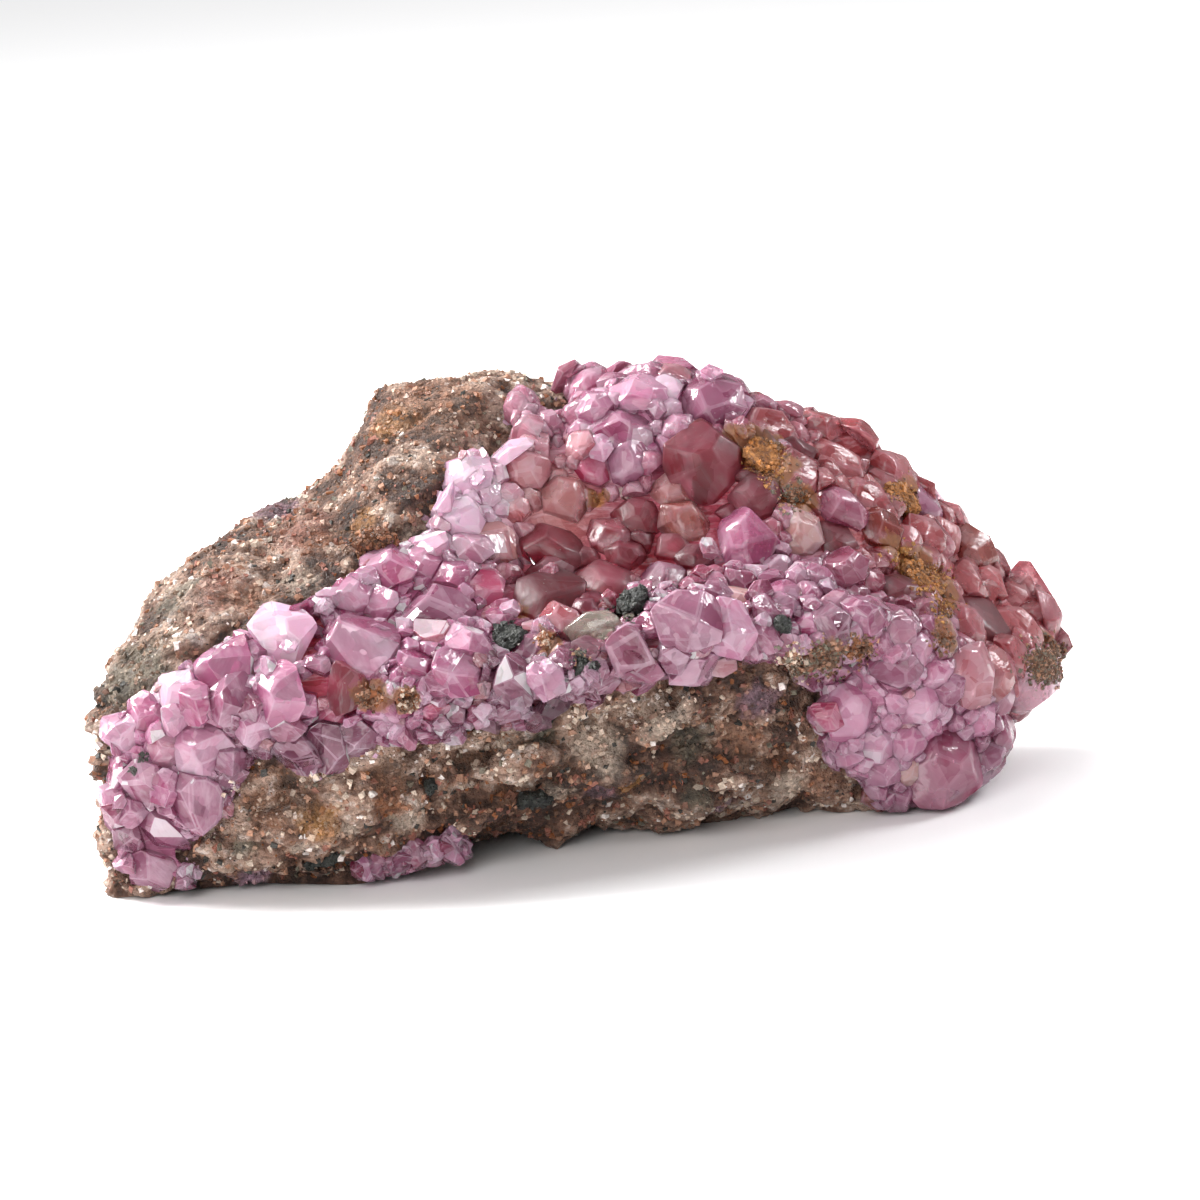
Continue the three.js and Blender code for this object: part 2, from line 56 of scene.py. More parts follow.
photo = {
    "pixels": 1200,                            # width and height
    "focal": 4450,                             # in pixels
    "pitch": 12,                               # degrees, looking down
    "roll": 4,
    "position": Vector((1.54, -495.36, 130.43)) * mm,
    "sensor": 36,
    "clip": (0.02, 20),
}


def photoAxes():
    pitch, roll = math.radians(photo["pitch"]), math.radians(photo["roll"])
    level = Vector((1, 0, 0))
    up = Vector((0, math.sin(pitch), math.cos(pitch)))
    ahead = Vector((0, math.cos(pitch), -math.sin(pitch)))
    right = level * math.cos(roll) - up * math.sin(roll)
    top = level * math.sin(roll) + up * math.cos(roll)
    return right, top, ahead


right, top, ahead = photoAxes()


def pixelRay(at):
    half = photo["pixels"] / 2
    across, down = (at[0] - half) / photo["focal"], (at[1] - half) / photo["focal"]
    return (ahead + right * across - top * down).normalized()


def pixelSize(point):
    return (point - photo["position"]).dot(ahead) / photo["focal"]


def makeCamera():
    data = bpy.data.cameras.new("camera")
    data.sensor_width = photo["sensor"]
    data.lens = data.sensor_width * photo["focal"] / photo["pixels"]
    data.clip_start, data.clip_end = photo["clip"]
    camera = bpy.data.objects.new("camera", data)
    scene.collection.objects.link(camera)
    turn = Matrix((right, top, -ahead)).transposed().to_4x4()
    camera.matrix_world = Matrix.Translation(photo["position"]) @ turn
    scene.camera = camera


makeCamera()
print("camera placed")


# Light, floor and backdrop

studio = {
    "backdrop": (0.94, 0.94, 0.94),            # what shows behind the floor
    "world": (0.42, 0.42, 0.425),              # the light that comes from all around
    "aim": (0, 0, 0.025),
    "sun": {"from": (-0.45, 0.3, 0.84), "angle": 50, "strength": 1.6},
    "floor": {"colour": (0.94, 0.94, 0.94), "roughness": 0.8, "size": 8},
    "lights": {                                # place, size, watts and colour
        "window_light": ((-0.56, 0.2, 0.52), 0.36, 14.0, (1.0, 0.99, 0.98)),
        "right_light": ((0.55, 0.2, 0.5), 0.26, 3.4, (0.97, 0.98, 1.0)),
        "front_light": ((-0.25, -0.8, 0.5), 0.7, 5.4, (1.0, 0.98, 0.97)),
    },
}


def aimedLight(name, data, place):
    light = bpy.data.objects.new(name, data)
    scene.collection.objects.link(light)
    light.location = place
    aim = Vector(studio["aim"]) - light.location
    light.rotation_euler = aim.to_track_quat("-Z", "Y").to_euler()


def makeWorld():
    world = bpy.data.worlds.new("studio")
    world.use_nodes = True
    tree = world.node_tree
    around = tree.nodes["Background"]
    around.inputs["Color"].default_value = (*studio["world"], 1)
    behind = tree.nodes.new("ShaderNodeBackground")
    behind.inputs["Color"].default_value = (*studio["backdrop"], 1)
    either = tree.nodes.new("ShaderNodeMixShader")
    tree.links.new(tree.nodes.new("ShaderNodeLightPath").outputs["Is Camera Ray"], either.inputs["Fac"])
    tree.links.new(around.outputs["Background"], either.inputs[1])
    tree.links.new(behind.outputs["Background"], either.inputs[2])
    tree.links.new(either.outputs["Shader"], tree.nodes["World Output"].inputs["Surface"])
    scene.world = world


def makeLights():
    for name, (place, size, watts, colour) in studio["lights"].items():
        data = bpy.data.lights.new(name, "AREA")
        data.shape = "DISK"
        data.size = size
        data.energy = watts
        data.color = colour
        aimedLight(name, data, place)
    sun = bpy.data.lights.new("sun", "SUN")
    sun.angle = math.radians(studio["sun"]["angle"])
    sun.energy = studio["sun"]["strength"]
    aimedLight("sun", sun, studio["sun"]["from"])


def makeFloor():
    bm = bmesh.new()
    bmesh.ops.create_grid(bm, x_segments=2, y_segments=2, size=studio["floor"]["size"])
    mesh = bpy.data.meshes.new("floor")
    bm.to_mesh(mesh)
    bm.free()
    floor = bpy.data.objects.new("floor", mesh)
    scene.collection.objects.link(floor)
    material = bpy.data.materials.new("floor")
    material.use_nodes = True
    shader = material.node_tree.nodes["Principled BSDF"]
    shader.inputs["Base Color"].default_value = (*studio["floor"]["colour"], 1)
    shader.inputs["Roughness"].default_value = studio["floor"]["roughness"]
    mesh.materials.append(material)


def makeStudio():
    makeLights()
    makeWorld()
    scene.view_settings.view_transform = "Standard"
    makeFloor()


makeStudio()
print("studio lit")


# Helpers for meshes

def smoothstep(value, low, high):
    t = min(max((value - low) / (high - low), 0), 1)
    return t * t * (3 - 2 * t)


def mergedCopy(name):
    bm = bmesh.new()
    bm.from_mesh(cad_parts[name].data)
    bmesh.ops.remove_doubles(bm, verts=bm.verts, dist=1e-6)
    return bm


def smoothed(bm, rounds):
    for _ in range(rounds):
        bmesh.ops.smooth_vert(bm, verts=bm.verts, factor=0.5, use_axis_x=True, use_axis_y=True,
                              use_axis_z=True)
    bm.normal_update()


def remeshed(bm, voxel):
    mesh = bpy.data.meshes.new("rough")
    bm.to_mesh(mesh)
    bm.free()
    rough = bpy.data.objects.new("rough", mesh)
    scene.collection.objects.link(rough)
    modifier = rough.modifiers.new("remesh", "REMESH")
    modifier.mode = "VOXEL"
    modifier.voxel_size = voxel
    graph = bpy.context.evaluated_depsgraph_get()
    result = bmesh.new()
    result.from_mesh(bpy.data.meshes.new_from_object(rough.evaluated_get(graph)))
    bpy.data.objects.remove(rough)
    return result


def addPiece(name, bm, material, smooth=True):
    mesh = bpy.data.meshes.new(name)
    if smooth is not None:                     # a crystal's faces keep their own setting
        for face in bm.faces:
            face.smooth = smooth
    bm.to_mesh(mesh)
    bm.free()
    mesh.materials.append(material)
    piece = bpy.data.objects.new(name, mesh)
    scene.collection.objects.link(piece)
    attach(piece, "root")
    return piece


def paint(mesh, name, colours):
    layer = mesh.color_attributes.new(name, "FLOAT_COLOR", "POINT")
    layer.data.foreach_set("color", [channel for colour in colours for channel in colour])


def setValues(mesh, name, values, kind="FLOAT"):
    layer = mesh.attributes.new(name, kind, "POINT")
    layer.data.foreach_set("vector" if kind == "FLOAT_VECTOR" else "value", values)


def cutAway(bm, place, normal):
    cut = bmesh.ops.bisect_plane(bm, geom=[*bm.verts, *bm.edges, *bm.faces], plane_co=place, plane_no=normal,
                                 clear_outer=True)
    rim = [part for part in cut["geom_cut"] if isinstance(part, bmesh.types.BMEdge)]
    if len(rim) > 2:
        return bmesh.ops.edgeloop_fill(bm, edges=rim)["faces"]
    return []


def shaky(rng, most):
    return rng.uniform(-most, most)


def scattered(rng, most, unit=1):
    return Vector([shaky(rng, most) * unit for _ in range(3)])


def spunAround(axis, rng):
    return Vector((0, 0, 1)).rotation_difference(axis) @ Quaternion((0, 0, 1), rng.uniform(0, math.tau))


# Helpers for materials

def newMaterial(name):
    material = bpy.data.materials.new(name)
    material.use_nodes = True
    tree = material.node_tree
    return material, tree, tree.nodes["Principled BSDF"]


def plug(tree, value, socket):
    if isinstance(value, bpy.types.NodeSocket):
        tree.links.new(value, socket)
    else:
        socket.default_value = (*value, 1) if socket.type == "RGBA" else value


def plugAll(tree, sockets, values):
    for name, value in values.items():
        plug(tree, value, sockets[name])


def newNode(tree, kind, values):
    node = tree.nodes.new("ShaderNode" + kind)
    plugAll(tree, node.inputs, values)
    return node


def attribute(tree, name):
    node = tree.nodes.new("ShaderNodeAttribute")
    node.attribute_name = name
    return node.outputs


def objectPlace(tree):
    return tree.nodes.new("ShaderNodeTexCoord").outputs["Object"]


def facing(tree):
    return tree.nodes.new("ShaderNodeNewGeometry").outputs["Normal"]


def turned(tree, place, stretch, turn=(0, 0, 0)):
    angles = [math.radians(angle) for angle in turn]
    return newNode(tree, "Mapping", {"Vector": place, "Scale": stretch, "Rotation": angles}).outputs["Vector"]


def cloud(tree, place, scale, detail=3, roughness=0.55):
    values = {"Vector": place, "Scale": scale, "Detail": detail, "Roughness": roughness}
    return newNode(tree, "TexNoise", values).outputs["Fac"]


def cells(tree, place, scale):
    return newNode(tree, "TexVoronoi", {"Vector": place, "Scale": scale})


def ranged(tree, value, low, high, toLow=0.0, toHigh=1.0):
    values = {"Value": value, "From Min": low, "From Max": high, "To Min": toLow, "To Max": toHigh}
    return newNode(tree, "MapRange", values).outputs["Result"]


def mixed(tree, factor, first, second, blend="MIX"):
    node = tree.nodes.new("ShaderNodeMix")
    node.data_type = "RGBA"
    node.blend_type = blend
    sockets = [socket for socket in node.inputs if socket.enabled]
    for value, socket in zip((factor, first, second), sockets):
        plug(tree, value, socket)
    return [socket for socket in node.outputs if socket.enabled][0]


def shaded(tree, colour, shade):
    return mixed(tree, 1.0, colour, shade, "MULTIPLY")


def maths(tree, operation, first, second):
    node = tree.nodes.new("ShaderNodeMath")
    node.operation = operation
    plugAll(tree, node.inputs, {0: first, 1: second})
    return node.outputs["Value"]


def times(tree, first, second):
    return maths(tree, "MULTIPLY", first, second)


def plus(tree, first, second):
    return maths(tree, "ADD", first, second)


def vectorMaths(tree, operation, values):
    node = tree.nodes.new("ShaderNodeVectorMath")
    node.operation = operation
    plugAll(tree, node.inputs, values)
    return node.outputs["Vector"]


def bumped(tree, height, distance, strength, shader):
    node = newNode(tree, "Bump", {"Height": height, "Distance": distance, "Strength": strength})
    tree.links.new(node.outputs["Normal"], shader.inputs["Normal"])
    return node


def tiltedNormal(tree, colour, amount):
    apart = vectorMaths(tree, "SUBTRACT", {0: colour, 1: (0.5, 0.5, 0.5)})
    apart = vectorMaths(tree, "SCALE", {0: apart, "Scale": times(tree, amount, 2.0)})
    return vectorMaths(tree, "NORMALIZE", {0: vectorMaths(tree, "ADD", {0: facing(tree), 1: apart})})


# Effects that several materials share, as node groups

def newGroup(name, inputs, outputs):
    group = bpy.data.node_groups.new(name, "ShaderNodeTree")
    for label, value in inputs.items():
        kind = "NodeSocketVector" if value is None else "NodeSocketFloat"
        socket = group.interface.new_socket(label, in_out="INPUT", socket_type=kind)
        if value is not None:
            socket.default_value = value
    for label in outputs:
        group.interface.new_socket(label, in_out="OUTPUT", socket_type="NodeSocketFloat")
    return group, group.nodes.new("NodeGroupInput").outputs, group.nodes.new("NodeGroupOutput").inputs


def makePatchesGroup():
    inputs = {"Place": None, "Scale": 500, "Detail": 4, "From": 0.4, "To": 0.6}
    group, given, result = newGroup("patches", inputs, ["Mask"])
    clouds = cloud(group, given["Place"], given["Scale"], given["Detail"], 0.6)
    group.links.new(ranged(group, clouds, given["From"], given["To"]), result["Mask"])
    return group


def makeSugarGroup():
    inputs = {"Place": None, "Scale": 2000, "Fine": 3}
    group, given, result = newGroup("sugar", inputs, ["Shade", "Gloss", "Height"])
    grains = cells(group, given["Place"], given["Scale"]).outputs
    each = newNode(group, "SeparateColor", {"Color": grains["Color"]}).outputs
    dust = cloud(group, given["Place"], times(group, given["Scale"], given["Fine"]), 3, 0.5)
    group.links.new(each["Red"], result["Shade"])
    group.links.new(each["Green"], result["Gloss"])
    group.links.new(maths(group, "SUBTRACT", dust, grains["Distance"]), result["Height"])
    return group


patchesGroup = makePatchesGroup()
sugarGroup = makeSugarGroup()


def grouped(tree, group, place, **values):
    node = tree.nodes.new("ShaderNodeGroup")
    node.node_tree = group
    plugAll(tree, node.inputs, {"Place": place, **values})
    return node.outputs


def patchy(tree, place, scale, low, high, detail=4):
    return grouped(tree, patchesGroup, place, Scale=scale, Detail=detail, From=low, To=high)["Mask"]


# Calcite's finish: clear enough to see into, over a bed that is solid pink

calciteGlow = {"reach": (1.0, 0.42, 0.6), "scale": 1.8 * mm}

calciteMarks = {
    # colour of the painted glints
    "paintedGlint": (1.0, 0.95, 0.98),
    "dot": (0.95, 0.86, 0.88),
    "iron": ((0.13, 0.035, 0.01), (0.60, 0.24, 0.06)),
    "ironShare": 0.85,
}

calciteFinishes = {
    "clear": {
        "transmission": 0.8, "ior": 1.5, "specular": 0.25, "roughness": (0.2, 0.42),
        "deepen": (1.25, 0.75),                # power of the tone, at a crystal's root and tip; the deeper root is painted shade
        "glow": 0.0,                           # light that scatters inside
        "veil": (0.92, 0.66, 0.76), "veilShare": (0.1, 0.4),      # where blunt and where crisp
        # painted shade and painted light: how much darker and lighter single facets are drawn
        "facetShading": {"deep": 1.12, "paintedLitFacets": 0.2},
        "rim": (0.78, 0.47, 0.36), "rimShare": 0.6,
        "dots": 0.4,
        "tilt": (0.012, 0.25),                 # of the broken facets, where blunt and where crisp
        "relief": (0.08, 0.4),                 # mm and strength
    },
    "milky": {
        "transmission": 0.55, "ior": 1.5, "specular": 0.5, "roughness": (0.05, 0.26),
        "deepen": (1.35, 0.85),
        "glow": 0.25,
        "veil": (0.95, 0.74, 0.87), "veilShare": (0.12, 0.3),
        "facetShading": {"deep": 1.35, "paintedLitFacets": 0.4},
        "rim": (0.92, 0.78, 0.82), "rimShare": 0.4,
        "dots": 0.5,
        "tilt": (0.03, 0.5),
        "relief": (0.08, 0.5),
    },
    # the bed's stronger power draws it darker, as painted shade between the crystals
    "bed": {
        "transmission": 0.0, "ior": 1.5, "specular": 0.4, "roughness": (0.25, 0.5),
        "deepen": (1.6, 1.1),
        "glow": 0.0,
        "veil": (0.90, 0.72, 0.80), "veilShare": (0.2, 0.2),
        "facetShading": {"deep": 1.0, "paintedLitFacets": 0.0},
        "rim": (0.9, 0.7, 0.75), "rimShare": 0.0,
        "dots": 0.0,
        "tilt": (0.1, 0.1),
        "relief": (0.2, 0.8),
    },
}


def calciteMaterial(name, setting):
    material, tree, shader = newMaterial(name)
    tone = attribute(tree, "tone")
    inside = attribute(tree, "inside")["Vector"]              # each crystal's own coordinates, in its widths
    crisp = attribute(tree, "crisp")["Fac"]
    facetLight = attribute(tree, "facetLight")["Fac"]
    place = objectPlace(tree)
    cleavage = turned(tree, inside, (1, 1, 5))
    broken = cells(tree, turned(tree, inside, (1, 1, 1), (35, 20, 50)), 2.8)
    broken.distance = "CHEBYCHEV"
    subFacetShade = newNode(tree, "SeparateColor", {"Color": broken.outputs["Color"]}).outputs["Red"]

    # painted shade: the tone is drawn deeper towards each crystal's root
    power = ranged(tree, tone["Alpha"], 0, 1, *setting["deepen"])
    power = times(tree, power, ranged(tree, cloud(tree, inside, 1.3, 2), 0.3, 0.7, 1.16, 0.86))
    # painted light and shade: the broken sub-facets of each crystal are drawn darker or lighter
    power = times(tree, power, ranged(tree, subFacetShade, 0, 1, 1.35, 0.82))
    # painted shade: facets with a low value are drawn deeper
    power = times(tree, power, ranged(tree, facetLight, 0.0, 0.4, setting["facetShading"]["deep"], 1.0))
    colour = newNode(tree, "Gamma", {"Color": tone["Color"], "Gamma": power}).outputs["Color"]

    veil = times(tree, patchy(tree, cleavage, 1.6, 0.5, 0.66, 3),
                 ranged(tree, crisp, 0, 1, *setting["veilShare"]))
    # painted light: facets with a high value are drawn paler, as if lit
    paintedLitFacets = times(tree, ranged(tree, facetLight, 0.7, 1.0, 0.0, setting["facetShading"]["paintedLitFacets"]),
                   ranged(tree, crisp, 0.1, 0.7, 0.3, 1.0))
    # painted glints: the facets with the highest value are drawn near white
    paintedGlint = times(tree, ranged(tree, facetLight, 0.93, 0.95), ranged(tree, crisp, 0.3, 0.8, 0.0, 0.8))
    rim = times(tree, attribute(tree, "rim")["Fac"], setting["rimShare"])
    dot = ranged(tree, cells(tree, place, 1300).outputs["Distance"], 0.07, 0.12, 1, 0)
    dot = times(tree, times(tree, dot, setting["dots"]), patchy(tree, place, 300, 0.5, 0.6, 2))
    rust = ranged(tree, plus(tree, attribute(tree, "rust")["Fac"], cloud(tree, place, 700, 3)), 0.8, 1.02)
    iron = mixed(tree, cloud(tree, place, 1500, 2), *calciteMarks["iron"])
    for mask, mark in ((veil, setting["veil"]), (paintedLitFacets, setting["veil"]), (paintedGlint, calciteMarks["paintedGlint"]),
                       (rim, setting["rim"]), (dot, calciteMarks["dot"]),
                       (times(tree, rust, calciteMarks["ironShare"]), iron)):
        colour = mixed(tree, mask, colour, mark)

    gloss = ranged(tree, cloud(tree, place, 260, 3), 0.35, 0.68, *setting["roughness"])
    gloss = plus(tree, gloss, ranged(tree, crisp, 0.0, 0.4, 0.16, 0.0))
    height = plus(tree, times(tree, cloud(tree, cleavage, 3, 2), 2.5), cloud(tree, place, 1500, 1))
    relief, strength = setting["relief"]
    bump = bumped(tree, height, relief * mm, strength, shader)
    tilt = ranged(tree, crisp, 0, 1, *setting["tilt"])
    tree.links.new(tiltedNormal(tree, broken.outputs["Color"], tilt), bump.inputs["Normal"])
    plugAll(tree, shader.inputs, {
        "Base Color": colour,
        "Roughness": plus(tree, gloss, times(tree, rust, 0.3)),
        "Transmission Weight": setting["transmission"],
        "IOR": setting["ior"],
        "Specular IOR Level": setting["specular"],
        "Subsurface Weight": setting["glow"],
        "Subsurface Radius": calciteGlow["reach"],
        "Subsurface Scale": calciteGlow["scale"],
    })
    return material


calcite = {name: calciteMaterial("calcite_" + name, setting) for name, setting in calciteFinishes.items()}


# The bed that the crystals grow from: the crust with its crystals smoothed away

bedSetting = {
    "voxel": 0.9 * mm,
    "smoothing": 22,
    "sink": 0.8 * mm,                          # how far it is drawn in, so that the crystals rise from it
    "gapDepth": 1.2 * mm,
    "edge": (0.6 * mm, 1.8 * mm),              # distances from the rock between which it is drawn in
    # painted shade: the bed between and below the crystals is drawn darker
    "shade": 0.85,
    "insideScale": 200,
}

rockTree = BVHTree.FromBMesh(mergedCopy("host_rock"))
druseTree = BVHTree.FromBMesh(mergedCopy("calcite_druse"))
bed = remeshed(mergedCopy("calcite_druse"), bedSetting["voxel"])
smoothed(bed, bedSetting["smoothing"])
bedTree = BVHTree.FromBMesh(bed)


def onBed(at):
    for tree in (bedTree, druseTree, rockTree):
        hit = tree.ray_cast(photo["position"], pixelRay(at))[0]
        if hit:
            return bedTree.find_nearest(hit)[:2]
    return None, None


def bedPlaces(spots):
    return [(onBed((x, y))[0], reach * mm) for x, y, reach in spots.values()]


def nearness(p, spot, wide=1.5):
    place, reach = spot
    return smoothstep(wide * reach - (p - place).length, 0, reach)


# Tones of the calcite, and how they and the crystals' form change over the crust

milkyTones = {
    "white": (0.95, 0.72, 0.84),
    "pale": (0.76, 0.45, 0.59),
    "pink": (0.64, 0.275, 0.43),
    "lilac": (0.52, 0.25, 0.36),
    "peach": (0.70, 0.38, 0.38),
    "cream": (0.84, 0.60, 0.58),
    "grape": (0.38, 0.175, 0.25),
}

clearTones = {
    "magenta": (0.64, 0.185, 0.30),
    "violet": (0.55, 0.23, 0.33),
    "mauve": (0.57, 0.21, 0.225),
    "raspberry": (0.48, 0.095, 0.145),
    "brown": (0.48, 0.18, 0.16),
    "plum": (0.36, 0.075, 0.11),
}

tones = {**milkyTones, **clearTones}
leastMilkyGreen = 0.17                         # in a tone between these, where milky begins

# Regions of the crust: pixel, tone, bluntness and size of the crystals
# Bluntness is 0 where they are blocks with clear edges, and 1 where they are low, round and close
crustRegions = {
    "farLeft": (160, 760, "pink", 0.15, 0.9),
    "leftTop": (215, 660, "pink", 0.1, 0.9),
    "leftMiddle": (320, 680, "pink", 0.1, 0.9),
    "leftFoot": (140, 850, "lilac", 0.3, 1.0),
    "leftEdge": (260, 760, "grape", 0.1, 0.75),
    "middleLow": (520, 690, "grape", 0.05, 0.7),
    "middleLeft": (440, 620, "pink", 0.3, 0.95),
    "shoulder": (470, 500, "white", 0.2, 0.75),
    # in the hollow, the deep raspberry is partly the crystals' own colour and partly painted shade of the
    # hollow
    "hollow": (570, 580, "raspberry", 1.0, 1.4),
    "hollowTop": (560, 500, "peach", 0.9, 1.15),
    "hollowRight": (650, 540, "raspberry", 0.9, 1.3),
    "ridge": (680, 610, "lilac", 0.2, 0.85),
    "middleTop": (620, 430, "pale", 0.5, 0.9),
    "crest": (690, 390, "lilac", 0.7, 1.0),
    "upperRight": (720, 480, "raspberry", 0.9, 1.35),
    "right": (840, 500, "mauve", 0.85, 1.2),
    "rightMiddle": (800, 580, "lilac", 0.5, 0.85),
    "farRight": (980, 600, "mauve", 1.0, 1.4),
    "rightTop": (900, 480, "mauve", 0.8, 1.25),
    "lowerRight": (900, 740, "pale", 0.5, 0.72),
    "lowestRight": (950, 780, "lilac", 0.8, 1.2),
}


regionSpread = 3 * mm                          # near a region's place, within this distance, it counts fully


def hitRegions():
    places = []
    for x, y, tone, blunt, size in crustRegions.values():
        hit, _ = onBed((x, y))
        if hit:
            places.append((hit, Vector(tones[tone]), blunt, size))
    return places


regionPlaces = hitRegions()


def regionAt(point):
    tone, blunt, size, weights = Vector((0, 0, 0)), 0, 0, 0
    for place, placeTone, placeBlunt, placeSize in regionPlaces:
        weight = 1 / ((point - place).length_squared + regionSpread ** 2) ** 2
        tone += placeTone * weight
        blunt += placeBlunt * weight
        size += placeSize * weight
        weights += weight
    return tone / weights, blunt / weights, size / weights


# Crystals that stand where they do in the photograph: pixel of the middle, width in pixels, and tone

namedCrystals = {
    "leftWhite": (215, 637, 36, "white"),
    "leftLong": (221, 667, 70, "pink"),
    "leftPeach": (178, 686, 48, "white"),
    "leftBright": (280, 637, 66, "white"),
    "leftSmall": (247, 635, 32, "pink"),
    "leftRound": (276, 694, 56, "pink"),
    "leftDeep": (227, 694, 50, "lilac"),
    "leftLilac": (253, 733, 42, "pale"),
    "leftBlock": (200, 750, 62, "pale"),
    "leftDark": (166, 751, 37, "violet"),
    "leftMauve": (231, 757, 36, "lilac"),
    "leftHigh": (145, 714, 44, "pink"),
    "greatPink": (362, 652, 84, "lilac"),
    "belowGreat": (340, 690, 50, "raspberry"),
    "smallPale": (319, 665, 28, "lilac"),
    "lilacLow": (327, 743, 52, "grape"),
    "paleLow": (333, 716, 28, "magenta"),
    "lilacEdge": (357, 740, 38, "grape"),
    "lilacFoot": (292, 757, 50, "grape"),
    "lilacCorner": (196, 797, 58, "lilac"),
    "cornerPink": (141, 782, 50, "lilac"),
    "footPink": (162, 831, 66, "lilac"),
    "footLeft": (131, 838, 42, "grape"),
    "footLow": (150, 872, 40, "lilac"),
    "magentaBlock": (439, 612, 84, "lilac"),
    "magentaFoot": (416, 664, 38, "pink"),
    "lilacBlock": (460, 668, 54, "pink"),
    "pointed": (514, 680, 50, "grape"),
    "pointedPale": (552, 678, 36, "pale"),
    "smallPeach": (434, 713, 28, "magenta"),
    "lowPale": (405, 737, 28, "violet"),
    "lowPaleRight": (446, 737, 28, "grape"),
    "lowSmall": (475, 717, 24, "violet"),
    "shoulderLow": (470, 520, 54, "white"),
    "shoulderHigh": (462, 476, 48, "white"),
    "shoulderTop": (505, 447, 50, "white"),
    "peachBlock": (498, 539, 60, "peach"),
    "peachFoot": (491, 588, 50, "magenta"),
    "deepBlock": (539, 596, 80, "plum"),
    "darkRound": (554, 537, 66, "raspberry"),
    "peachPale": (567, 495, 46, "peach"),
    "salmon": (595, 470, 38, "magenta"),
    "lilacTop": (625, 462, 46, "lilac"),
    "purpleTop": (629, 426, 62, "lilac"),
    "redRound": (636, 514, 50, "raspberry"),
    "darkRed": (602, 585, 76, "raspberry"),
    "darkRight": (660, 575, 58, "grape"),
    "hollowRight": (688, 520, 54, "brown"),
    "whiteTipped": (674, 484, 52, "peach"),
    "greatRaspberry": (715, 462, 86, "raspberry"),
    "crestPale": (642, 384, 62, "pale"),
    "crestCream": (668, 383, 36, "white"),
    "crestPurple": (709, 397, 68, "lilac"),
    "crestSlab": (744, 405, 40, "pale"),
    "rightDull": (774, 421, 62, "mauve"),
    "rightBrown": (821, 418, 54, "mauve"),
    "rightRed": (803, 450, 42, "plum"),
    "rightPink": (842, 458, 72, "mauve"),
    "rightLilac": (928, 500, 58, "lilac"),
    "rightPale": (845, 502, 54, "violet"),
    "rightPurple": (842, 538, 56, "plum"),
    "rightGrey": (806, 536, 48, "cream"),
    "middlePink": (740, 541, 64, "pink"),
    "creamWhite": (738, 597, 48, "cream"),
    "ridgeLilac": (686, 622, 58, "lilac"),
    "ridgePale": (729, 630, 48, "pale"),
    "ridgePink": (776, 587, 48, "pink"),
    "ridgeMauve": (833, 620, 48, "grape"),
    "ridgeLeaf": (808, 620, 36, "pink"),
    "slantPale": (862, 612, 42, "lilac"),
    "rightMauve": (886, 530, 50, "brown"),
    "mauvePurple": (902, 586, 58, "plum"),
    "brownSmooth": (977, 545, 64, "brown"),
    "deepRight": (986, 618, 80, "raspberry"),
    "edgePink": (1005, 676, 48, "mauve"),
    "edgePeach": (985, 722, 42, "pale"),
    "smallWhite": (930, 621, 24, "lilac"),
    "rustWhite": (952, 646, 24, "cream"),
    "lobePurple": (897, 673, 50, "lilac"),
    "lobeLilac": (856, 712, 60, "pale"),
    "lobeWhite": (920, 708, 44, "pale"),
    "lobeGrey": (952, 692, 36, "lilac"),
    "lobeSmooth": (946, 762, 84, "violet"),
    "lobePeach": (912, 776, 30, "cream"),
    "lobeFoot": (905, 800, 38, "lilac"),
    "lobeLow": (855, 790, 42, "brown"),
    "lobeLeft": (828, 724, 36, "magenta"),
    "topWhite": (667, 442, 24, "pale"),
    "topWhiteLeft": (652, 447, 22, "pink"),
}

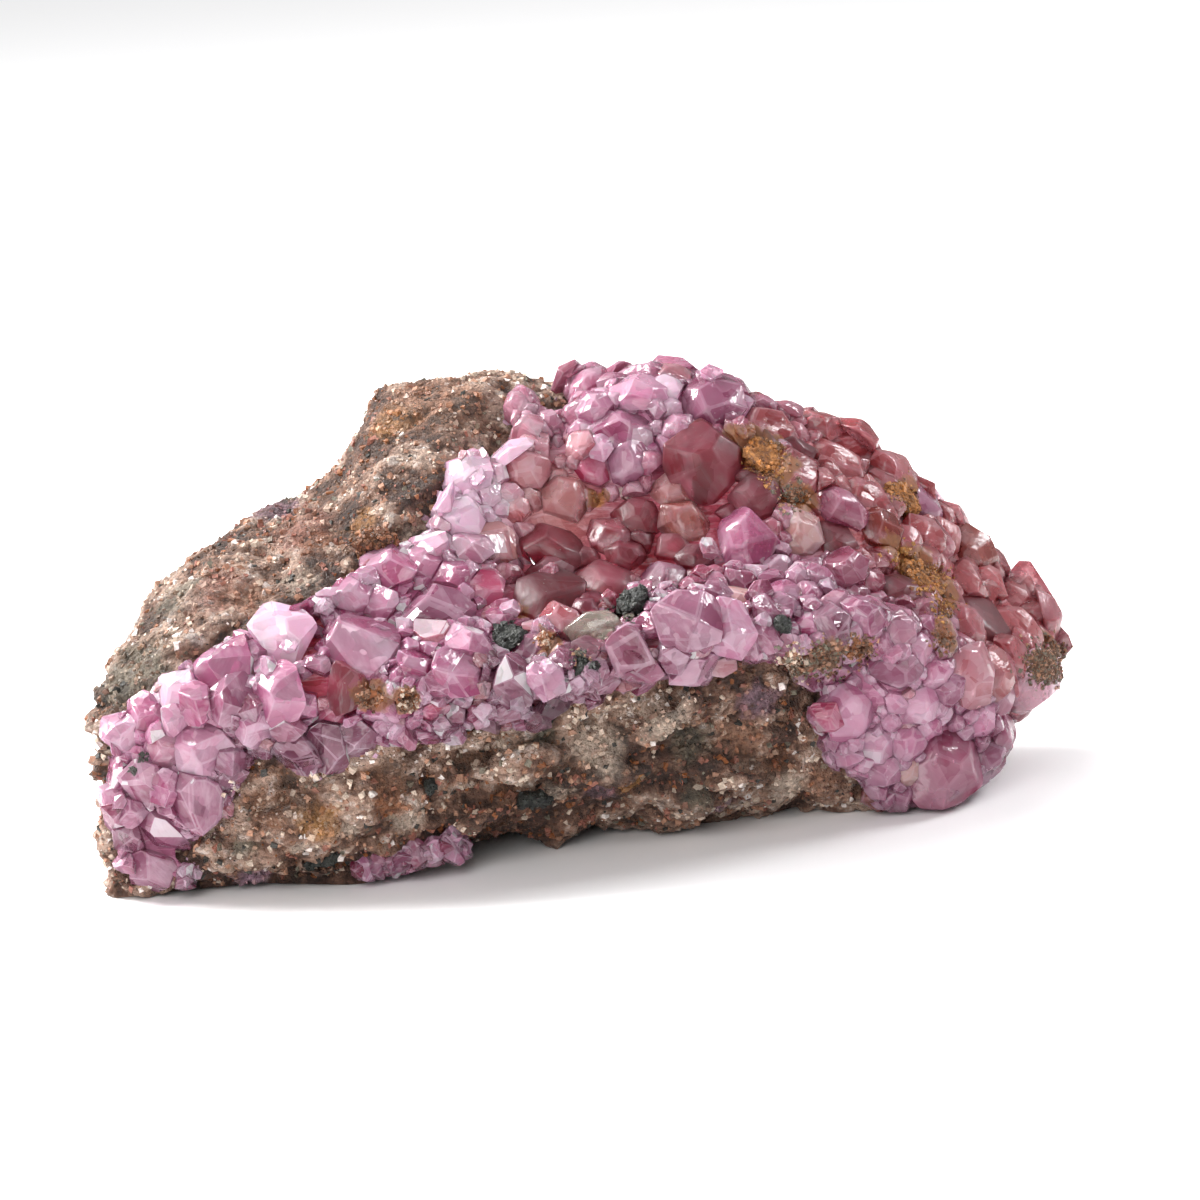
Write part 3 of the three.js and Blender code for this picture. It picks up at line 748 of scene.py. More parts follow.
crystalSetting = {
    "widths": {6.0: 200, 5.0: 600, 4.1: 1600, 3.3: 4000, 2.6: 8000, 2.0: 12000, 1.6: 12000},    # mm: tries
    "widthVaries": (0.88, 1.12),
    "scatter": 0.4,                            # in mm, from the middle of a face of the bed
    "named": 0.96,                             # of the widths in the photograph, as a crystal overfills them
    "neighbours": 10 * mm,
    "closeness": 0.36,                         # least distance of two crystals, to the sum of their widths
    "overRock": 0.34,                          # least distance to the rock, to the width
    "overThin": 1.7,                           # greatest width, to the thickness of the bed
    "block": 2.2,                              # a crystal is cut from this cube, in widths
    "steep": (34, 11),                         # degrees between the axis and the upper faces, block to blunt
    "steepVaries": 7,
    "turnVaries": 0.2,
    "lean": (0.5, 0.22),
    "rise": {"low": (-0.46, -0.45), "high": (-0.3, -0.4)},    # of the middle above the bed, to the width
    "upper": (0.56, 0.64),                     # distance of the upper faces from the middle, to the width
    "sides": (0.46, 0.54),
    "corners": (0.5, 0.68),
    "sideDrop": 70,                            # degrees that the side faces lean in towards the root
    "dome": {"from": 0.45, "faces": 6, "steep": 46, "varies": 8, "reach": (0.53, 0.6)},    # rounder shoulders
    "domesOnly": {"from": 0.8, "least": 2.4},  # no small crystals among the domes
    "chips": (2, 3, 4, 5),                     # extra small faces
    "chipSpread": (0.6, 0.3),
    "chipReach": (0.48, 0.6),
    "root": {"share": 0.2, "least": 1.4 * mm},    # how far it goes into the bed
    "wallRange": (0.1, 0.6),                   # distances of neighbours that leave a wall, to the widths
    "leastWall": 0.16,
    "seam": 0.02,                              # how far two crystals run into each other, to the width
    "ceiling": 0.9 * mm,                       # how far a crystal may rise over the crust of the solid model
    "leastTop": 0.2,
    "underside": 0.1 * mm,                     # height over the ground of the lowest crystals
    "weld": 0.05,
    "step": {"from": 3.8 * mm, "share": 0.5, "inset": (0.05, 0.1), "height": (0.012, 0.03), "faces": 2},
    "edge": (0.016, 0.09),                     # rounding of the crown's edges
    "edgeVaries": (0.8, 1.2),
    "seamEdge": 0.02,
    "roundedEdgeLight": 0.84,                         # painted light value of the rounded edges: it draws them lighter, as a highlight
    "smoothFrom": 0.6,                         # bluntness from which a crystal's own faces are smooth
    "fine": 3.6 * mm,                          # width from which the edges are rounded more finely
    "shade": (0.94, 1.06),
    "stretch": (0.97, 1.05),
    "pale": (-0.05, 0.35),                     # heights over the bed between which the tone grows pale, out of the painted shade at the root
    "seed": 11,
}

# Hollows between the crystals, kept free of crystals, where the bed sinks deeper and is drawn deep raspberry
# as painted shade: pixel and reach in mm
gaps = {
    "leftHigh": (313, 622, 2.3),
    "leftMiddle": (303, 645, 2.1),
    "leftLow": (312, 683, 2.0),
    "leftBelow": (346, 705, 1.6),
    "leftSmall": (250, 668, 0.7),
    "middle": (395, 640, 1.2),
    "middleLow": (540, 705, 1.3),
    "ridge": (655, 640, 1.4),
    "rightLow": (800, 655, 1.0),
}

# Places kept free of crystals for other minerals: pixel and reach in mm
clearings = {
    "plateLeft": (572, 640, 1.5),
    "plateRight": (600, 630, 1.5),
    "darkAbove": (628, 611, 1.1),
    "darkBelow": (583, 659, 1.0),
    "darkRidge": (512, 635, 1.0),
    "darkRight": (784, 625, 0.8),
    "ochreUpper": (772, 463, 1.5),
    "ochreTop": (905, 495, 1.1),
    "ochreRight": (930, 577, 1.3),
    "tongueLeft": (795, 664, 1.5),
    "tongueMiddle": (826, 658, 1.7),
    "tongueRight": (856, 648, 1.4),
    "brownLeft": (371, 697, 0.8),
    "brownRight": (407, 699, 0.8),
}

# Where iron has stained the crystals: pixel and reach in mm
rustSpots = {
    "upperLeft": (755, 445, 2.6),
    "upperStart": (735, 436, 1.4),
    "upper": (778, 470, 2.6),
    "upperRight": (800, 500, 2.0),
    "rightStart": (892, 552, 1.6),
    "rightMiddle": (918, 568, 2.6),
    "rightLow": (940, 592, 2.4),
    "rightEnd": (946, 632, 2.0),
    "top": (905, 492, 2.0),
    "topLow": (915, 516, 1.4),
    "left": (372, 697, 1.8),
    "leftRight": (405, 699, 1.6),
    "hollowTop": (598, 497, 1.3),
    "plateLeft": (548, 645, 1.6),
    "rightEdge": (1042, 650, 2.6),
    "hollowFoot": (520, 615, 1.2),
    "tongue": (826, 658, 2.6),
    "tongueRight": (858, 648, 1.6),
    "tongueLeft": (795, 664, 1.8),
}

# How single crystals differ from their region's tone: chance up to which another is mixed in, and its share
toneChanges = {"white": (0.22, (0.2, 0.6)), "peach": (0.3, 0.6), "plum": (0.42, (0.15, 0.4))}
toneVariety = {"fewerWhereBlunt": 1.5, "shade": (0.9, 1.1)}

# Small crystals on the others' shoulders
sprinkle = {"count": 160, "widths": (1.0, 2.1), "aside": (0.25, 0.45), "lift": 0.16, "lean": 0.8,
            "paler": (0.1, 0.7), "bluntSkipped": 0.8, "blunt": 0.1, "seed": 21}


class Neighbourhood:
    def __init__(self, size):
        self.size = size
        self.cells = {}

    def cellOf(self, p):
        return tuple(int(math.floor(value / self.size)) for value in p)

    def add(self, p, item):
        self.cells.setdefault(self.cellOf(p), []).append(item)

    def near(self, p):
        cx, cy, cz = self.cellOf(p)
        for dx in (-1, 0, 1):
            for dy in (-1, 0, 1):
                for dz in (-1, 0, 1):
                    yield from self.cells.get((cx + dx, cy + dy, cz + dz), ())


def newCrystal(at, normal, wide, tone, blunt):
    return {"at": at, "normal": normal, "wide": wide, "tone": tone, "blunt": blunt}


def variedTone(tone, blunt, rng):
    chance = rng.random() * (1 + toneVariety["fewerWhereBlunt"] * blunt)
    for name, (limit, share) in toneChanges.items():
        if chance < limit:
            return tone.lerp(Vector(tones[name]), rng.uniform(*share) if isinstance(share, tuple) else share)
    return tone * rng.uniform(*toneVariety["shade"])


def hasRoom(around, p, wide):
    for other in around.near(p):
        if (other["at"] - p).length < crystalSetting["closeness"] * (wide + other["wide"]):
            return False
    return True


def placeCrystals(rng):
    placed = []
    around = Neighbourhood(crystalSetting["neighbours"])

    def place(crystal):
        around.add(crystal["at"], crystal)
        placed.append(crystal)

    for x, y, wide, tone in namedCrystals.values():
        hit, normal = onBed((x, y))
        width = crystalSetting["named"] * wide * pixelSize(hit)
        place(newCrystal(hit, normal, width, Vector(tones[tone]), regionAt(hit)[1]))
    named = len(placed)
    for spot, reach in bedPlaces(gaps) + bedPlaces(clearings):
        around.add(spot, {"at": spot, "wide": 2 * reach})
    faces = bed.faces[:]
    areas = [face.calc_area() for face in faces]
    domes = crystalSetting["domesOnly"]
    for wide, tries in crystalSetting["widths"].items():
        for face in rng.choices(faces, weights=areas, k=tries):
            p = face.calc_center_median() + scattered(rng, crystalSetting["scatter"], mm)
            tone, blunt, size = regionAt(p)
            width = wide * mm * size * rng.uniform(*crystalSetting["widthVaries"])
            if blunt > domes["from"] and wide < domes["least"]:
                continue
            inner = bedTree.ray_cast(p - face.normal * 0.5 * mm, -face.normal)[3] or 0
            if width > crystalSetting["overThin"] * inner:
                continue
            if rockTree.find_nearest(p)[3] < crystalSetting["overRock"] * width:
                continue
            if not hasRoom(around, p, width):
                continue
            place(newCrystal(p, face.normal.copy(), width, variedTone(tone, blunt, rng), blunt))
    print("crystals placed:", named, "named,", len(placed) - named, "between them")
    return placed, around


def between(ends, share):
    return ends[0] + (ends[1] - ends[0]) * share


# Face marks while a crystal grows: its own faces, the walls to its neighbours, and rounded edges
ownFace, wallFace, roundFace, seamFace = 0, 1, 2, 3


def tilted(steep, angle):
    return Vector((math.sin(steep) * math.cos(angle), math.sin(steep) * math.sin(angle), math.cos(steep)))


def cutCrown(shape, blunt, rng):
    steep = math.radians(between(crystalSetting["steep"], blunt) + shaky(rng, crystalSetting["steepVaries"]))
    drop = math.radians(180 - crystalSetting["sideDrop"])
    for side in range(3):
        angle = math.tau * side / 3 + shaky(rng, crystalSetting["turnVaries"])
        for normal, reach in ((tilted(steep, angle), "upper"), (tilted(drop, angle + math.pi), "sides"),
                              (tilted(drop, angle), "corners")):
            cutAway(shape, normal * rng.uniform(*crystalSetting[reach]), normal)
    dome = crystalSetting["dome"]
    if blunt > dome["from"]:
        for side in range(dome["faces"]):
            angle = math.tau * (side + shaky(rng, 0.3)) / dome["faces"]
            normal = tilted(math.radians(dome["steep"] + shaky(rng, dome["varies"])), angle)
            cutAway(shape, normal * rng.uniform(*dome["reach"]), normal)
    spread = between(crystalSetting["chipSpread"], blunt)
    for _ in range(rng.choice(crystalSetting["chips"])):
        normal = Vector((rng.gauss(0, spread), rng.gauss(0, spread), 1)).normalized()
        cutAway(shape, normal * rng.uniform(*crystalSetting["chipReach"]), normal)


def cutWalls(shape, crystal, around, turn):
    wide = crystal["wide"]
    nearest, farthest = crystalSetting["wallRange"]
    for other in around.near(crystal["at"]):
        apart = other["at"] - crystal["at"]
        distance = apart.length
        if other is crystal or not nearest * wide < distance < farthest * (wide + other["wide"]):
            continue
        share = (distance ** 2 + (wide ** 2 - other["wide"] ** 2) / 4) / (2 * distance * wide)
        if share > crystalSetting["leastWall"]:
            normal = turn.inverted() @ (apart / distance)
            for face in cutAway(shape, normal * (share + crystalSetting["seam"]), normal):
                face.material_index = wallFace


def stepFacets(shape, rng):
    step = crystalSetting["step"]
    own = [face for face in shape.faces if face.material_index == ownFace]
    for face in sorted(own, key=lambda face: -face.calc_area())[:step["faces"]]:
        bmesh.ops.inset_region(shape, faces=[face], thickness=rng.uniform(*step["inset"]),
                               depth=rng.uniform(*step["height"]), use_even_offset=True)


def bevelled(shape, edges, offset, segments=1):
    made = bmesh.ops.bevel(shape, geom=edges, offset=offset, segments=segments, profile=0.5, affect="EDGES",
                           material=-1, clamp_overlap=True)
    return made["faces"]


def roundEdges(shape, crystal, rng):
    fine = crystal["wide"] > crystalSetting["fine"]
    crown = [edge for edge in shape.edges if all(face.material_index == ownFace for face in edge.link_faces)]
    rounding = between(crystalSetting["edge"], crystal["blunt"]) * rng.uniform(*crystalSetting["edgeVaries"])
    for face in bevelled(shape, crown, rounding, 2 if fine and crystal["blunt"] > 0.4 else 1):
        face.material_index = roundFace
    if not fine:
        return
    seam = []
    for edge in shape.edges:
        walls = sum(face.material_index == wallFace for face in edge.link_faces)
        if len(edge.link_faces) == 2 and walls == 1:
            seam.append(edge)
    for face in bevelled(shape, seam, crystalSetting["seamEdge"]):
        face.material_index = seamFace


def markFaces(shape, blunt, rng):
    rims = [1.0 if all(face.material_index == seamFace for face in vert.link_faces) else 0.0
            for vert in shape.verts]
    # painted light and shade: each face gets a random value that draws it darker, lighter or as a glint
    facetShading = shape.faces.layers.float.new("facetLight")
    for face in shape.faces:
        face[facetShading] = crystalSetting["roundedEdgeLight"] if face.material_index == roundFace else rng.random()
        domed = blunt > crystalSetting["smoothFrom"] and face.material_index == ownFace
        face.smooth = domed or face.material_index in (roundFace, seamFace)
        face.material_index = 0
    return rims


rustPlaces = bedPlaces(rustSpots)


def rustAt(p):
    return max(nearness(p, spot) for spot in rustPlaces)


def growCrystal(bm, crystal, around, rng, crustTree):
    at, normal, wide, blunt = [crystal[name] for name in ("at", "normal", "wide", "blunt")]
    lean = scattered(rng, 1) * between(crystalSetting["lean"], blunt)
    turn = spunAround((normal + lean).normalized(), rng)
    up = turn.inverted() @ normal
    rise = rng.uniform(*[between(crystalSetting["rise"][end], blunt) for end in ("low", "high")])
    centre = at + normal * rise * wide
    shape = bmesh.new()
    bmesh.ops.create_cube(shape, size=crystalSetting["block"])
    cutCrown(shape, blunt, rng)
    root = rise + max(crystalSetting["root"]["share"], crystalSetting["root"]["least"] / wide)
    cutAway(shape, up * -root, -up)
    cutWalls(shape, crystal, around, turn)
    crust = crustTree.find_nearest(at + normal * 0.3 * wide)[0]
    ceiling = ((crust - at).dot(normal) + crystalSetting["ceiling"]) / wide - rise
    cutAway(shape, up * max(ceiling, crystalSetting["leastTop"]), up)
    if centre.z < wide:
        down = turn.inverted() @ Vector((0, 0, -1))
        cutAway(shape, down * (centre.z - crystalSetting["underside"]) / (1.1 * wide), down)
    bmesh.ops.remove_doubles(shape, verts=shape.verts, dist=crystalSetting["weld"])
    bmesh.ops.dissolve_degenerate(shape, edges=shape.edges, dist=0.01)
    step = crystalSetting["step"]
    if blunt < 0.5 and wide > step["from"] and rng.random() < step["share"]:
        stepFacets(shape, rng)
    roundEdges(shape, crystal, rng)
    rims = markFaces(shape, blunt, rng)
    bmesh.ops.triangulate(shape, faces=[face for face in shape.faces if len(face.verts) > 4])
    mesh = bpy.data.meshes.new("crystal")
    shape.to_mesh(mesh)
    shape.free()
    offset = Vector([rng.uniform(0, 60) for _ in range(3)])
    tone = crystal["tone"] * rng.uniform(*crystalSetting["shade"])
    pale = crystalSetting["pale"]
    # the alpha is the share of height over the root, which sets the painted shade at the root
    paint(mesh, "tone", [(*tone, smoothstep(vert.co.dot(up) + rise, *pale)) for vert in mesh.vertices])
    setValues(mesh, "rim", rims)
    setValues(mesh, "crisp", [1 - blunt] * len(mesh.vertices))
    inside = [value for vert in mesh.vertices for value in vert.co + offset]
    setValues(mesh, "inside", inside, "FLOAT_VECTOR")
    size = Vector([wide * rng.uniform(*crystalSetting["stretch"]) for _ in range(3)])
    mesh.transform(Matrix.LocRotScale(centre, turn, size))
    setValues(mesh, "rust", [rustAt(vert.co) for vert in mesh.vertices])
    bm.from_mesh(mesh)
    bpy.data.meshes.remove(mesh)


def sprinkled(placed, rng):
    small = []
    for crystal in rng.choices(placed, k=sprinkle["count"]):
        if crystal["blunt"] > 0.5 and rng.random() < sprinkle["bluntSkipped"]:
            continue
        normal, wide = crystal["normal"], crystal["wide"]
        aside = normal.cross(scattered(rng, 1)).normalized()
        at = crystal["at"] + (aside * rng.uniform(*sprinkle["aside"]) + normal * sprinkle["lift"]) * wide
        leaning = (normal + aside * rng.uniform(0, sprinkle["lean"])).normalized()
        tone = crystal["tone"].lerp(Vector(tones["white"]), rng.uniform(*sprinkle["paler"]))
        width = rng.uniform(*sprinkle["widths"]) * mm
        small.append(newCrystal(at, leaning, width, tone, sprinkle["blunt"]))
    return small


# Small pale crystals where the crust thins out on the rock
borderSetting = {"tries": 9000, "reach": 1.2 * mm, "chance": 0.35, "headroom": 3 * mm, "widths": (0.8, 1.8),
                 "tones": ("white", "pale", "lilac", "cream"), "blunt": 0.1, "seed": 41}


def borderCrystals():
    rng = random.Random(borderSetting["seed"])
    found = []
    for face in rng.choices(bed.faces[:], k=borderSetting["tries"]):
        p, normal = face.calc_center_median(), face.normal.copy()
        if rockTree.find_nearest(p)[3] > borderSetting["reach"] or rng.random() > borderSetting["chance"]:
            continue
        if rockTree.ray_cast(p + normal * 0.1 * mm, normal, borderSetting["headroom"])[0]:
            continue
        tone = Vector(tones[rng.choice(borderSetting["tones"])])
        width = rng.uniform(*borderSetting["widths"]) * mm
        found.append(newCrystal(p, normal, width, tone, borderSetting["blunt"]))
    print("border crystals:", len(found))
    return found


# The crystals come in three pieces of each kind: how far each reaches along the specimen, in mm
pieceBorders = {"left": -16, "middle": 18, "right": math.inf}


def growCrystals():
    rng = random.Random(crystalSetting["seed"])
    placed, around = placeCrystals(rng)
    small = sprinkled(placed, random.Random(sprinkle["seed"]))
    small += borderCrystals()
    alone = Neighbourhood(crystalSetting["neighbours"])
    groups = {}
    for crystal in placed + small:
        place = [name for name, end in pieceBorders.items() if crystal["at"].x / mm < end][0]
        kind = "milky" if crystal["tone"].y > leastMilkyGreen else "clear"
        groups.setdefault((place, kind), []).append((crystal, alone if crystal in small else around))
    made = []
    for (place, kind), crystals in sorted(groups.items()):
        bm = bmesh.new()
        for crystal, company in crystals:
            growCrystal(bm, crystal, company, rng, druseTree)
        name = "crystals_" + place + "_" + kind
        print(name, len(crystals), "crystals,", len(bm.faces), "faces")
        made.append(addPiece(name, bm, calcite[kind], smooth=None))
    return made


crystalPieces = growCrystals()
print("crystals grown")


def makeBedPiece():
    gapPlaces = bedPlaces(gaps)
    for vert in bed.verts:
        outer = smoothstep(rockTree.find_nearest(vert.co)[3], *bedSetting["edge"])
        sink = bedSetting["sink"]
        for spot in gapPlaces:
            sink += bedSetting["gapDepth"] * nearness(vert.co, spot)
        vert.co -= vert.normal * sink * outer
    piece = addPiece("crystal_bed", bed, calcite["bed"])
    mesh = piece.data
    tinted = []
    for vert in mesh.vertices:
        # painted shade: the bed is drawn darker, and deep raspberry near the hollows
        nearGap = max(nearness(vert.co, spot, 2) for spot in gapPlaces)
        tone = (regionAt(vert.co)[0] * bedSetting["shade"]).lerp(Vector(tones["raspberry"]), nearGap)
        tinted.append((*tone, 0.0))
    paint(mesh, "tone", tinted)
    inside = [value * bedSetting["insideScale"] for vert in mesh.vertices for value in vert.co]
    setValues(mesh, "inside", inside, "FLOAT_VECTOR")
    setValues(mesh, "rust", [rustAt(vert.co) for vert in mesh.vertices])
    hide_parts("calcite_druse")


makeBedPiece()
print("bed made")


# Host rock

rockSetting = {
    "voxel": 0.5 * mm,
    "smoothing": 3,
    "tilt": {"low": 10, "high": 36, "from": 14 * mm, "to": 28 * mm},   # degrees of its layers, by height
    "dip": 0.3,
    "stretch": 0.2,                                                    # of the layers along themselves
    "ledges": {"height": 1.1 * mm, "scale": 330, "finer": 2.3, "finerShare": 0.6, "edge": 0.15},
    "lumps": {"height": 1.0 * mm, "scale": 140},
    "grain": {"height": 0.65 * mm, "scale": 620},
    "crumble": {"height": 0.35 * mm, "scale": 1100},
    "clusters": {"height": 0.95 * mm, "scale": 330, "wide": 110, "wideShare": 0.7, "bend": (200, 2),
                 "edge": 0.6},
    "base": {"height": 0.3 * mm, "facing": -0.7},                      # the flat underside stays flat
    "smoother": {"from": 16 * mm, "to": 26 * mm, "share": 0.5},        # on the upper slope
}

stains = {
    "tan": (0.34, 0.175, 0.11),
    "rust": (0.22, 0.075, 0.025),
    "ochre": (0.36, 0.165, 0.045),
    "greenGrey": (0.15, 0.13, 0.095),
    "reddish": (0.25, 0.095, 0.065),
    "violet": (0.24, 0.14, 0.175),
    "dark": (0.035, 0.033, 0.028),
    "cream": (0.56, 0.44, 0.35),
    "lilac": (0.40, 0.24, 0.32),
    "brown": (0.12, 0.06, 0.035),
    "white": (0.74, 0.66, 0.62),
}

# Stained places on the rock: pixel, reach in mm, and stain
rockPatches = {
    "cornerRust": (271, 810, 3.2, "rust"),
    "bandOchre": (318, 822, 2.8, "ochre"),
    "bandBrown": (262, 812, 2.6, "brown"),
    "bandRust": (390, 797, 2.6, "rust"),
    "bandWhite": (300, 846, 2.0, "cream"),
    "bandDeep": (290, 800, 4.5, "brown"),
    "bandDeepMiddle": (395, 775, 3.6, "brown"),
    "bandTan": (520, 798, 3.4, "tan"),
    "archTan": (735, 735, 3.6, "tan"),
    "archCreamRight": (790, 790, 3.4, "cream"),
    "bandCreamMiddle": (560, 790, 2.6, "cream"),
    "bandWhiteRight": (345, 826, 1.8, "cream"),
    "bandWhiteMiddle": (404, 818, 2.4, "cream"),
    "bandBrownMiddle": (470, 762, 3.0, "brown"),
    "bandBrownRight": (560, 766, 3.0, "brown"),
    "bandRustFar": (632, 784, 2.4, "ochre"),
    "bandViolet": (604, 790, 2.6, "violet"),
    "bandCreamRight": (600, 748, 4.2, "cream"),
    "bandTop": (540, 742, 3.0, "greenGrey"),
    "archGreen": (690, 740, 3.6, "greenGrey"),
    "archCream": (665, 720, 4.2, "cream"),
    "archBrown": (760, 770, 3.6, "brown"),
    "archRust": (780, 758, 2.4, "rust"),
    "archViolet": (760, 700, 3.0, "violet"),
    "archDark": (862, 782, 1.6, "dark"),
    "archLow": (700, 800, 3.0, "greenGrey"),
    "footGreen": (240, 850, 2.6, "greenGrey"),
    "footLilac": (250, 880, 3.0, "lilac"),
    "archPink": (720, 806, 2.2, "lilac"),
    "slopeGrey": (135, 670, 7, "greenGrey"),
    "slopeGreyHigh": (180, 600, 5, "greenGrey"),
    "slopeRust": (215, 590, 5, "reddish"),
    "slopeRustHigh": (300, 530, 5, "reddish"),
    "slopeOrange": (320, 540, 2.6, "rust"),
    "slopeTan": (240, 600, 3.4, "tan"),
    "slopeCream": (300, 580, 3, "cream"),
    "slopePink": (270, 510, 5, "violet"),
    "topTan": (430, 400, 8, "tan"),
    "topOchre": (395, 420, 4, "ochre"),
    "topBrown": (455, 415, 3, "brown"),
    "pocketOchre": (362, 524, 2.6, "ochre"),
    "pocketCream": (410, 535, 2.4, "cream"),
    "nubGreen": (1050, 660, 4, "greenGrey"),
    "tongueBrown": (840, 655, 3, "brown"),
}

backPatches = {"count": 60, "reach": (3, 8), "seed": 5,
               "stains": ("reddish", "greenGrey", "tan", "cream", "brown", "greenGrey", "violet", "rust")}


def stretchedPlace(p):
    tilt = rockSetting["tilt"]
    share = smoothstep(p.z, tilt["from"], tilt["to"])
    angle = math.radians(tilt["low"] + (tilt["high"] - tilt["low"]) * share)
    across = Vector((-math.sin(angle), rockSetting["dip"], math.cos(angle))).normalized()
    along = p - across * p.dot(across)
    return along * rockSetting["stretch"] + across * p.dot(across)


def bending(p, scale, reach):
    return noise.noise_vector(p * scale) * reach * mm


def clusterAt(p):
    clusters = rockSetting["clusters"]
    bent = stretchedPlace(p) + bending(p, *clusters["bend"])
    wide = noise.fractal(bent * clusters["wide"], 1.0, 2.0, 2)
    return clusters["wideShare"] * wide + noise.fractal(p * clusters["scale"], 0.6, 2.2, 5)


def rockLift(p, cluster):
    ledges, lumps, grain, crumble, clusters, smoother = [rockSetting[name] for name in (
        "ledges", "lumps", "grain", "crumble", "clusters", "smoother")]
    layered = stretchedPlace(p) * ledges["scale"]
    step = smoothstep(noise.noise(layered), -ledges["edge"], ledges["edge"])
    step += ledges["finerShare"] * noise.noise(layered * ledges["finer"])
    lift = ledges["height"] * (step - 0.5)
    lift += lumps["height"] * noise.fractal(p * lumps["scale"], 1.0, 2.0, 3)
    lift += grain["height"] * (0.45 - noise.voronoi(p * grain["scale"])[0][0])
    lift += crumble["height"] * noise.turbulence(p * crumble["scale"], 3, False)
    lift += clusters["height"] * (cluster - 0.6)
    return lift * (1 - smoother["share"] * smoothstep(p.z, smoother["from"], smoother["to"]))


def makeRockMesh():
    bm = remeshed(mergedCopy("host_rock"), rockSetting["voxel"])
    smoothed(bm, rockSetting["smoothing"])
    base, edge = rockSetting["base"], rockSetting["clusters"]["edge"]
    clusters = []
    for vert in bm.verts:
        p = vert.co
        cluster = smoothstep(clusterAt(p), -edge, edge)
        clusters.append(cluster)
        if p.z >= base["height"] or vert.normal.z >= base["facing"]:
            vert.co = p + vert.normal * rockLift(p, cluster)
            vert.co.z = max(vert.co.z, 0)
    return bm, clusters


def hitPatches(tree):
    patches = []
    for x, y, reach, stain in rockPatches.values():
        hit = tree.ray_cast(photo["position"], pixelRay((x, y)))[0]
        if hit:
            patches.append((hit, reach * mm, Vector(stains[stain])))
    rng = random.Random(backPatches["seed"])
    low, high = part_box("host_rock")
    for _ in range(backPatches["count"]):
        p = Vector([rng.uniform(low[axis], high[axis]) for axis in range(3)])
        hit, normal = tree.find_nearest(p)[:2]
        stain = Vector(stains[rng.choice(backPatches["stains"])])
        if normal.y > 0 or normal.z < -0.3:
            patches.append((hit, rng.uniform(*backPatches["reach"]) * mm, stain))
    return patches


stainBends = ((450, 1.4), (1300, 0.5))         # noise scale, and how far it bends a stain's edge in mm


def stainAt(p):
    bent = p.copy()
    for scale, reach in stainBends:
        bent += bending(p, scale, reach)
    total, weights = Vector((0, 0, 0)), 0
    for place, reach, stain in stainPlaces:
        distance = (bent - place).length
        if distance < reach:
            weight = smoothstep(reach - distance, 0, 0.6 * reach)
            total += stain * weight
            weights += weight
    if weights == 0:
        return 0, 0, 0, 0
    return (*(total / weights), min(weights, 1))


rockTones = {"deep": (0.085, 0.04, 0.027), "middle": (0.285, 0.155, 0.105), "light": (0.52, 0.37, 0.29),
             "white": (0.70, 0.59, 0.53), "black": (0.022, 0.021, 0.019)}

# Cluster values between which each tone sets in, and how strongly each mark shows
rockMarks = {"middle": (0.5, 0.8), "light": (0.71, 0.97), "white": (0.74, 0.96), "hollow": (0.36, 0.08)}
rockShares = {"light": 0.85, "stain": 0.85, "streak": 0.7, "hollow": 0.52}


def rockMaterial():
    material, tree, shader = newMaterial("host_rock_stone")
    place = objectPlace(tree)
    bedded = turned(tree, place, (0.28, 0.6, 1), (0, 24, 0))
    sugar = grouped(tree, sugarGroup, place, Scale=2600, Fine=2.5)
    raised = attribute(tree, "raised")["Fac"]
    stain = attribute(tree, "stain")
    clustered = plus(tree, times(tree, raised, 0.4), cloud(tree, bedded, 420, 7, 0.62))
    # recessed rock (low cluster values) is drawn deep brown: partly iron, partly painted shadow
    middle = ranged(tree, clustered, *rockMarks["middle"])
    colour = mixed(tree, middle, rockTones["deep"], rockTones["middle"])
    light = times(tree, ranged(tree, clustered, *rockMarks["light"]), rockShares["light"])
    white = times(tree, patchy(tree, place, 800, 0.52, 0.62, 6), ranged(tree, clustered, *rockMarks["white"]))
    ragged = times(tree, stain["Alpha"], patchy(tree, place, 600, 0.3, 0.46, 6))
    streak = times(tree, patchy(tree, bedded, 1500, 0.56, 0.64, 5), rockShares["streak"])
    black = patchy(tree, place, 1700, 0.68, 0.71, 2)
    # painted shade: recessed rock is drawn near black in patches
    hollow = times(tree, ranged(tree, raised, *rockMarks["hollow"]), patchy(tree, place, 500, 0.42, 0.56, 5))
    for mask, mark in ((light, rockTones["light"]), (white, rockTones["white"]),
                       (times(tree, ragged, rockShares["stain"]), stain["Color"]),
                       (streak, rockTones["deep"]), (black, rockTones["black"]),
                       (times(tree, hollow, rockShares["hollow"]), rockTones["black"])):
        colour = mixed(tree, mask, colour, mark)
    # painted shade: rock that faces up is drawn darker
    upward = newNode(tree, "SeparateXYZ", {"Vector": facing(tree)}).outputs["Z"]
    upFacingShade = ranged(tree, upward, 0.1, 0.7, 1.0, 0.82)
    shade = times(tree, ranged(tree, sugar["Shade"], 0, 1, 0.7, 1.3), upFacingShade)
    plugAll(tree, shader.inputs, {
        "Base Color": shaded(tree, colour, shade),
        "Roughness": ranged(tree, sugar["Gloss"], 0.7, 1, 0.8, 0.25),
    })
    height = plus(tree, sugar["Height"], times(tree, cloud(tree, place, 1100, 6, 0.7), 3.0))
    bumped(tree, height, 0.3 * mm, 1.0, shader)
    return material


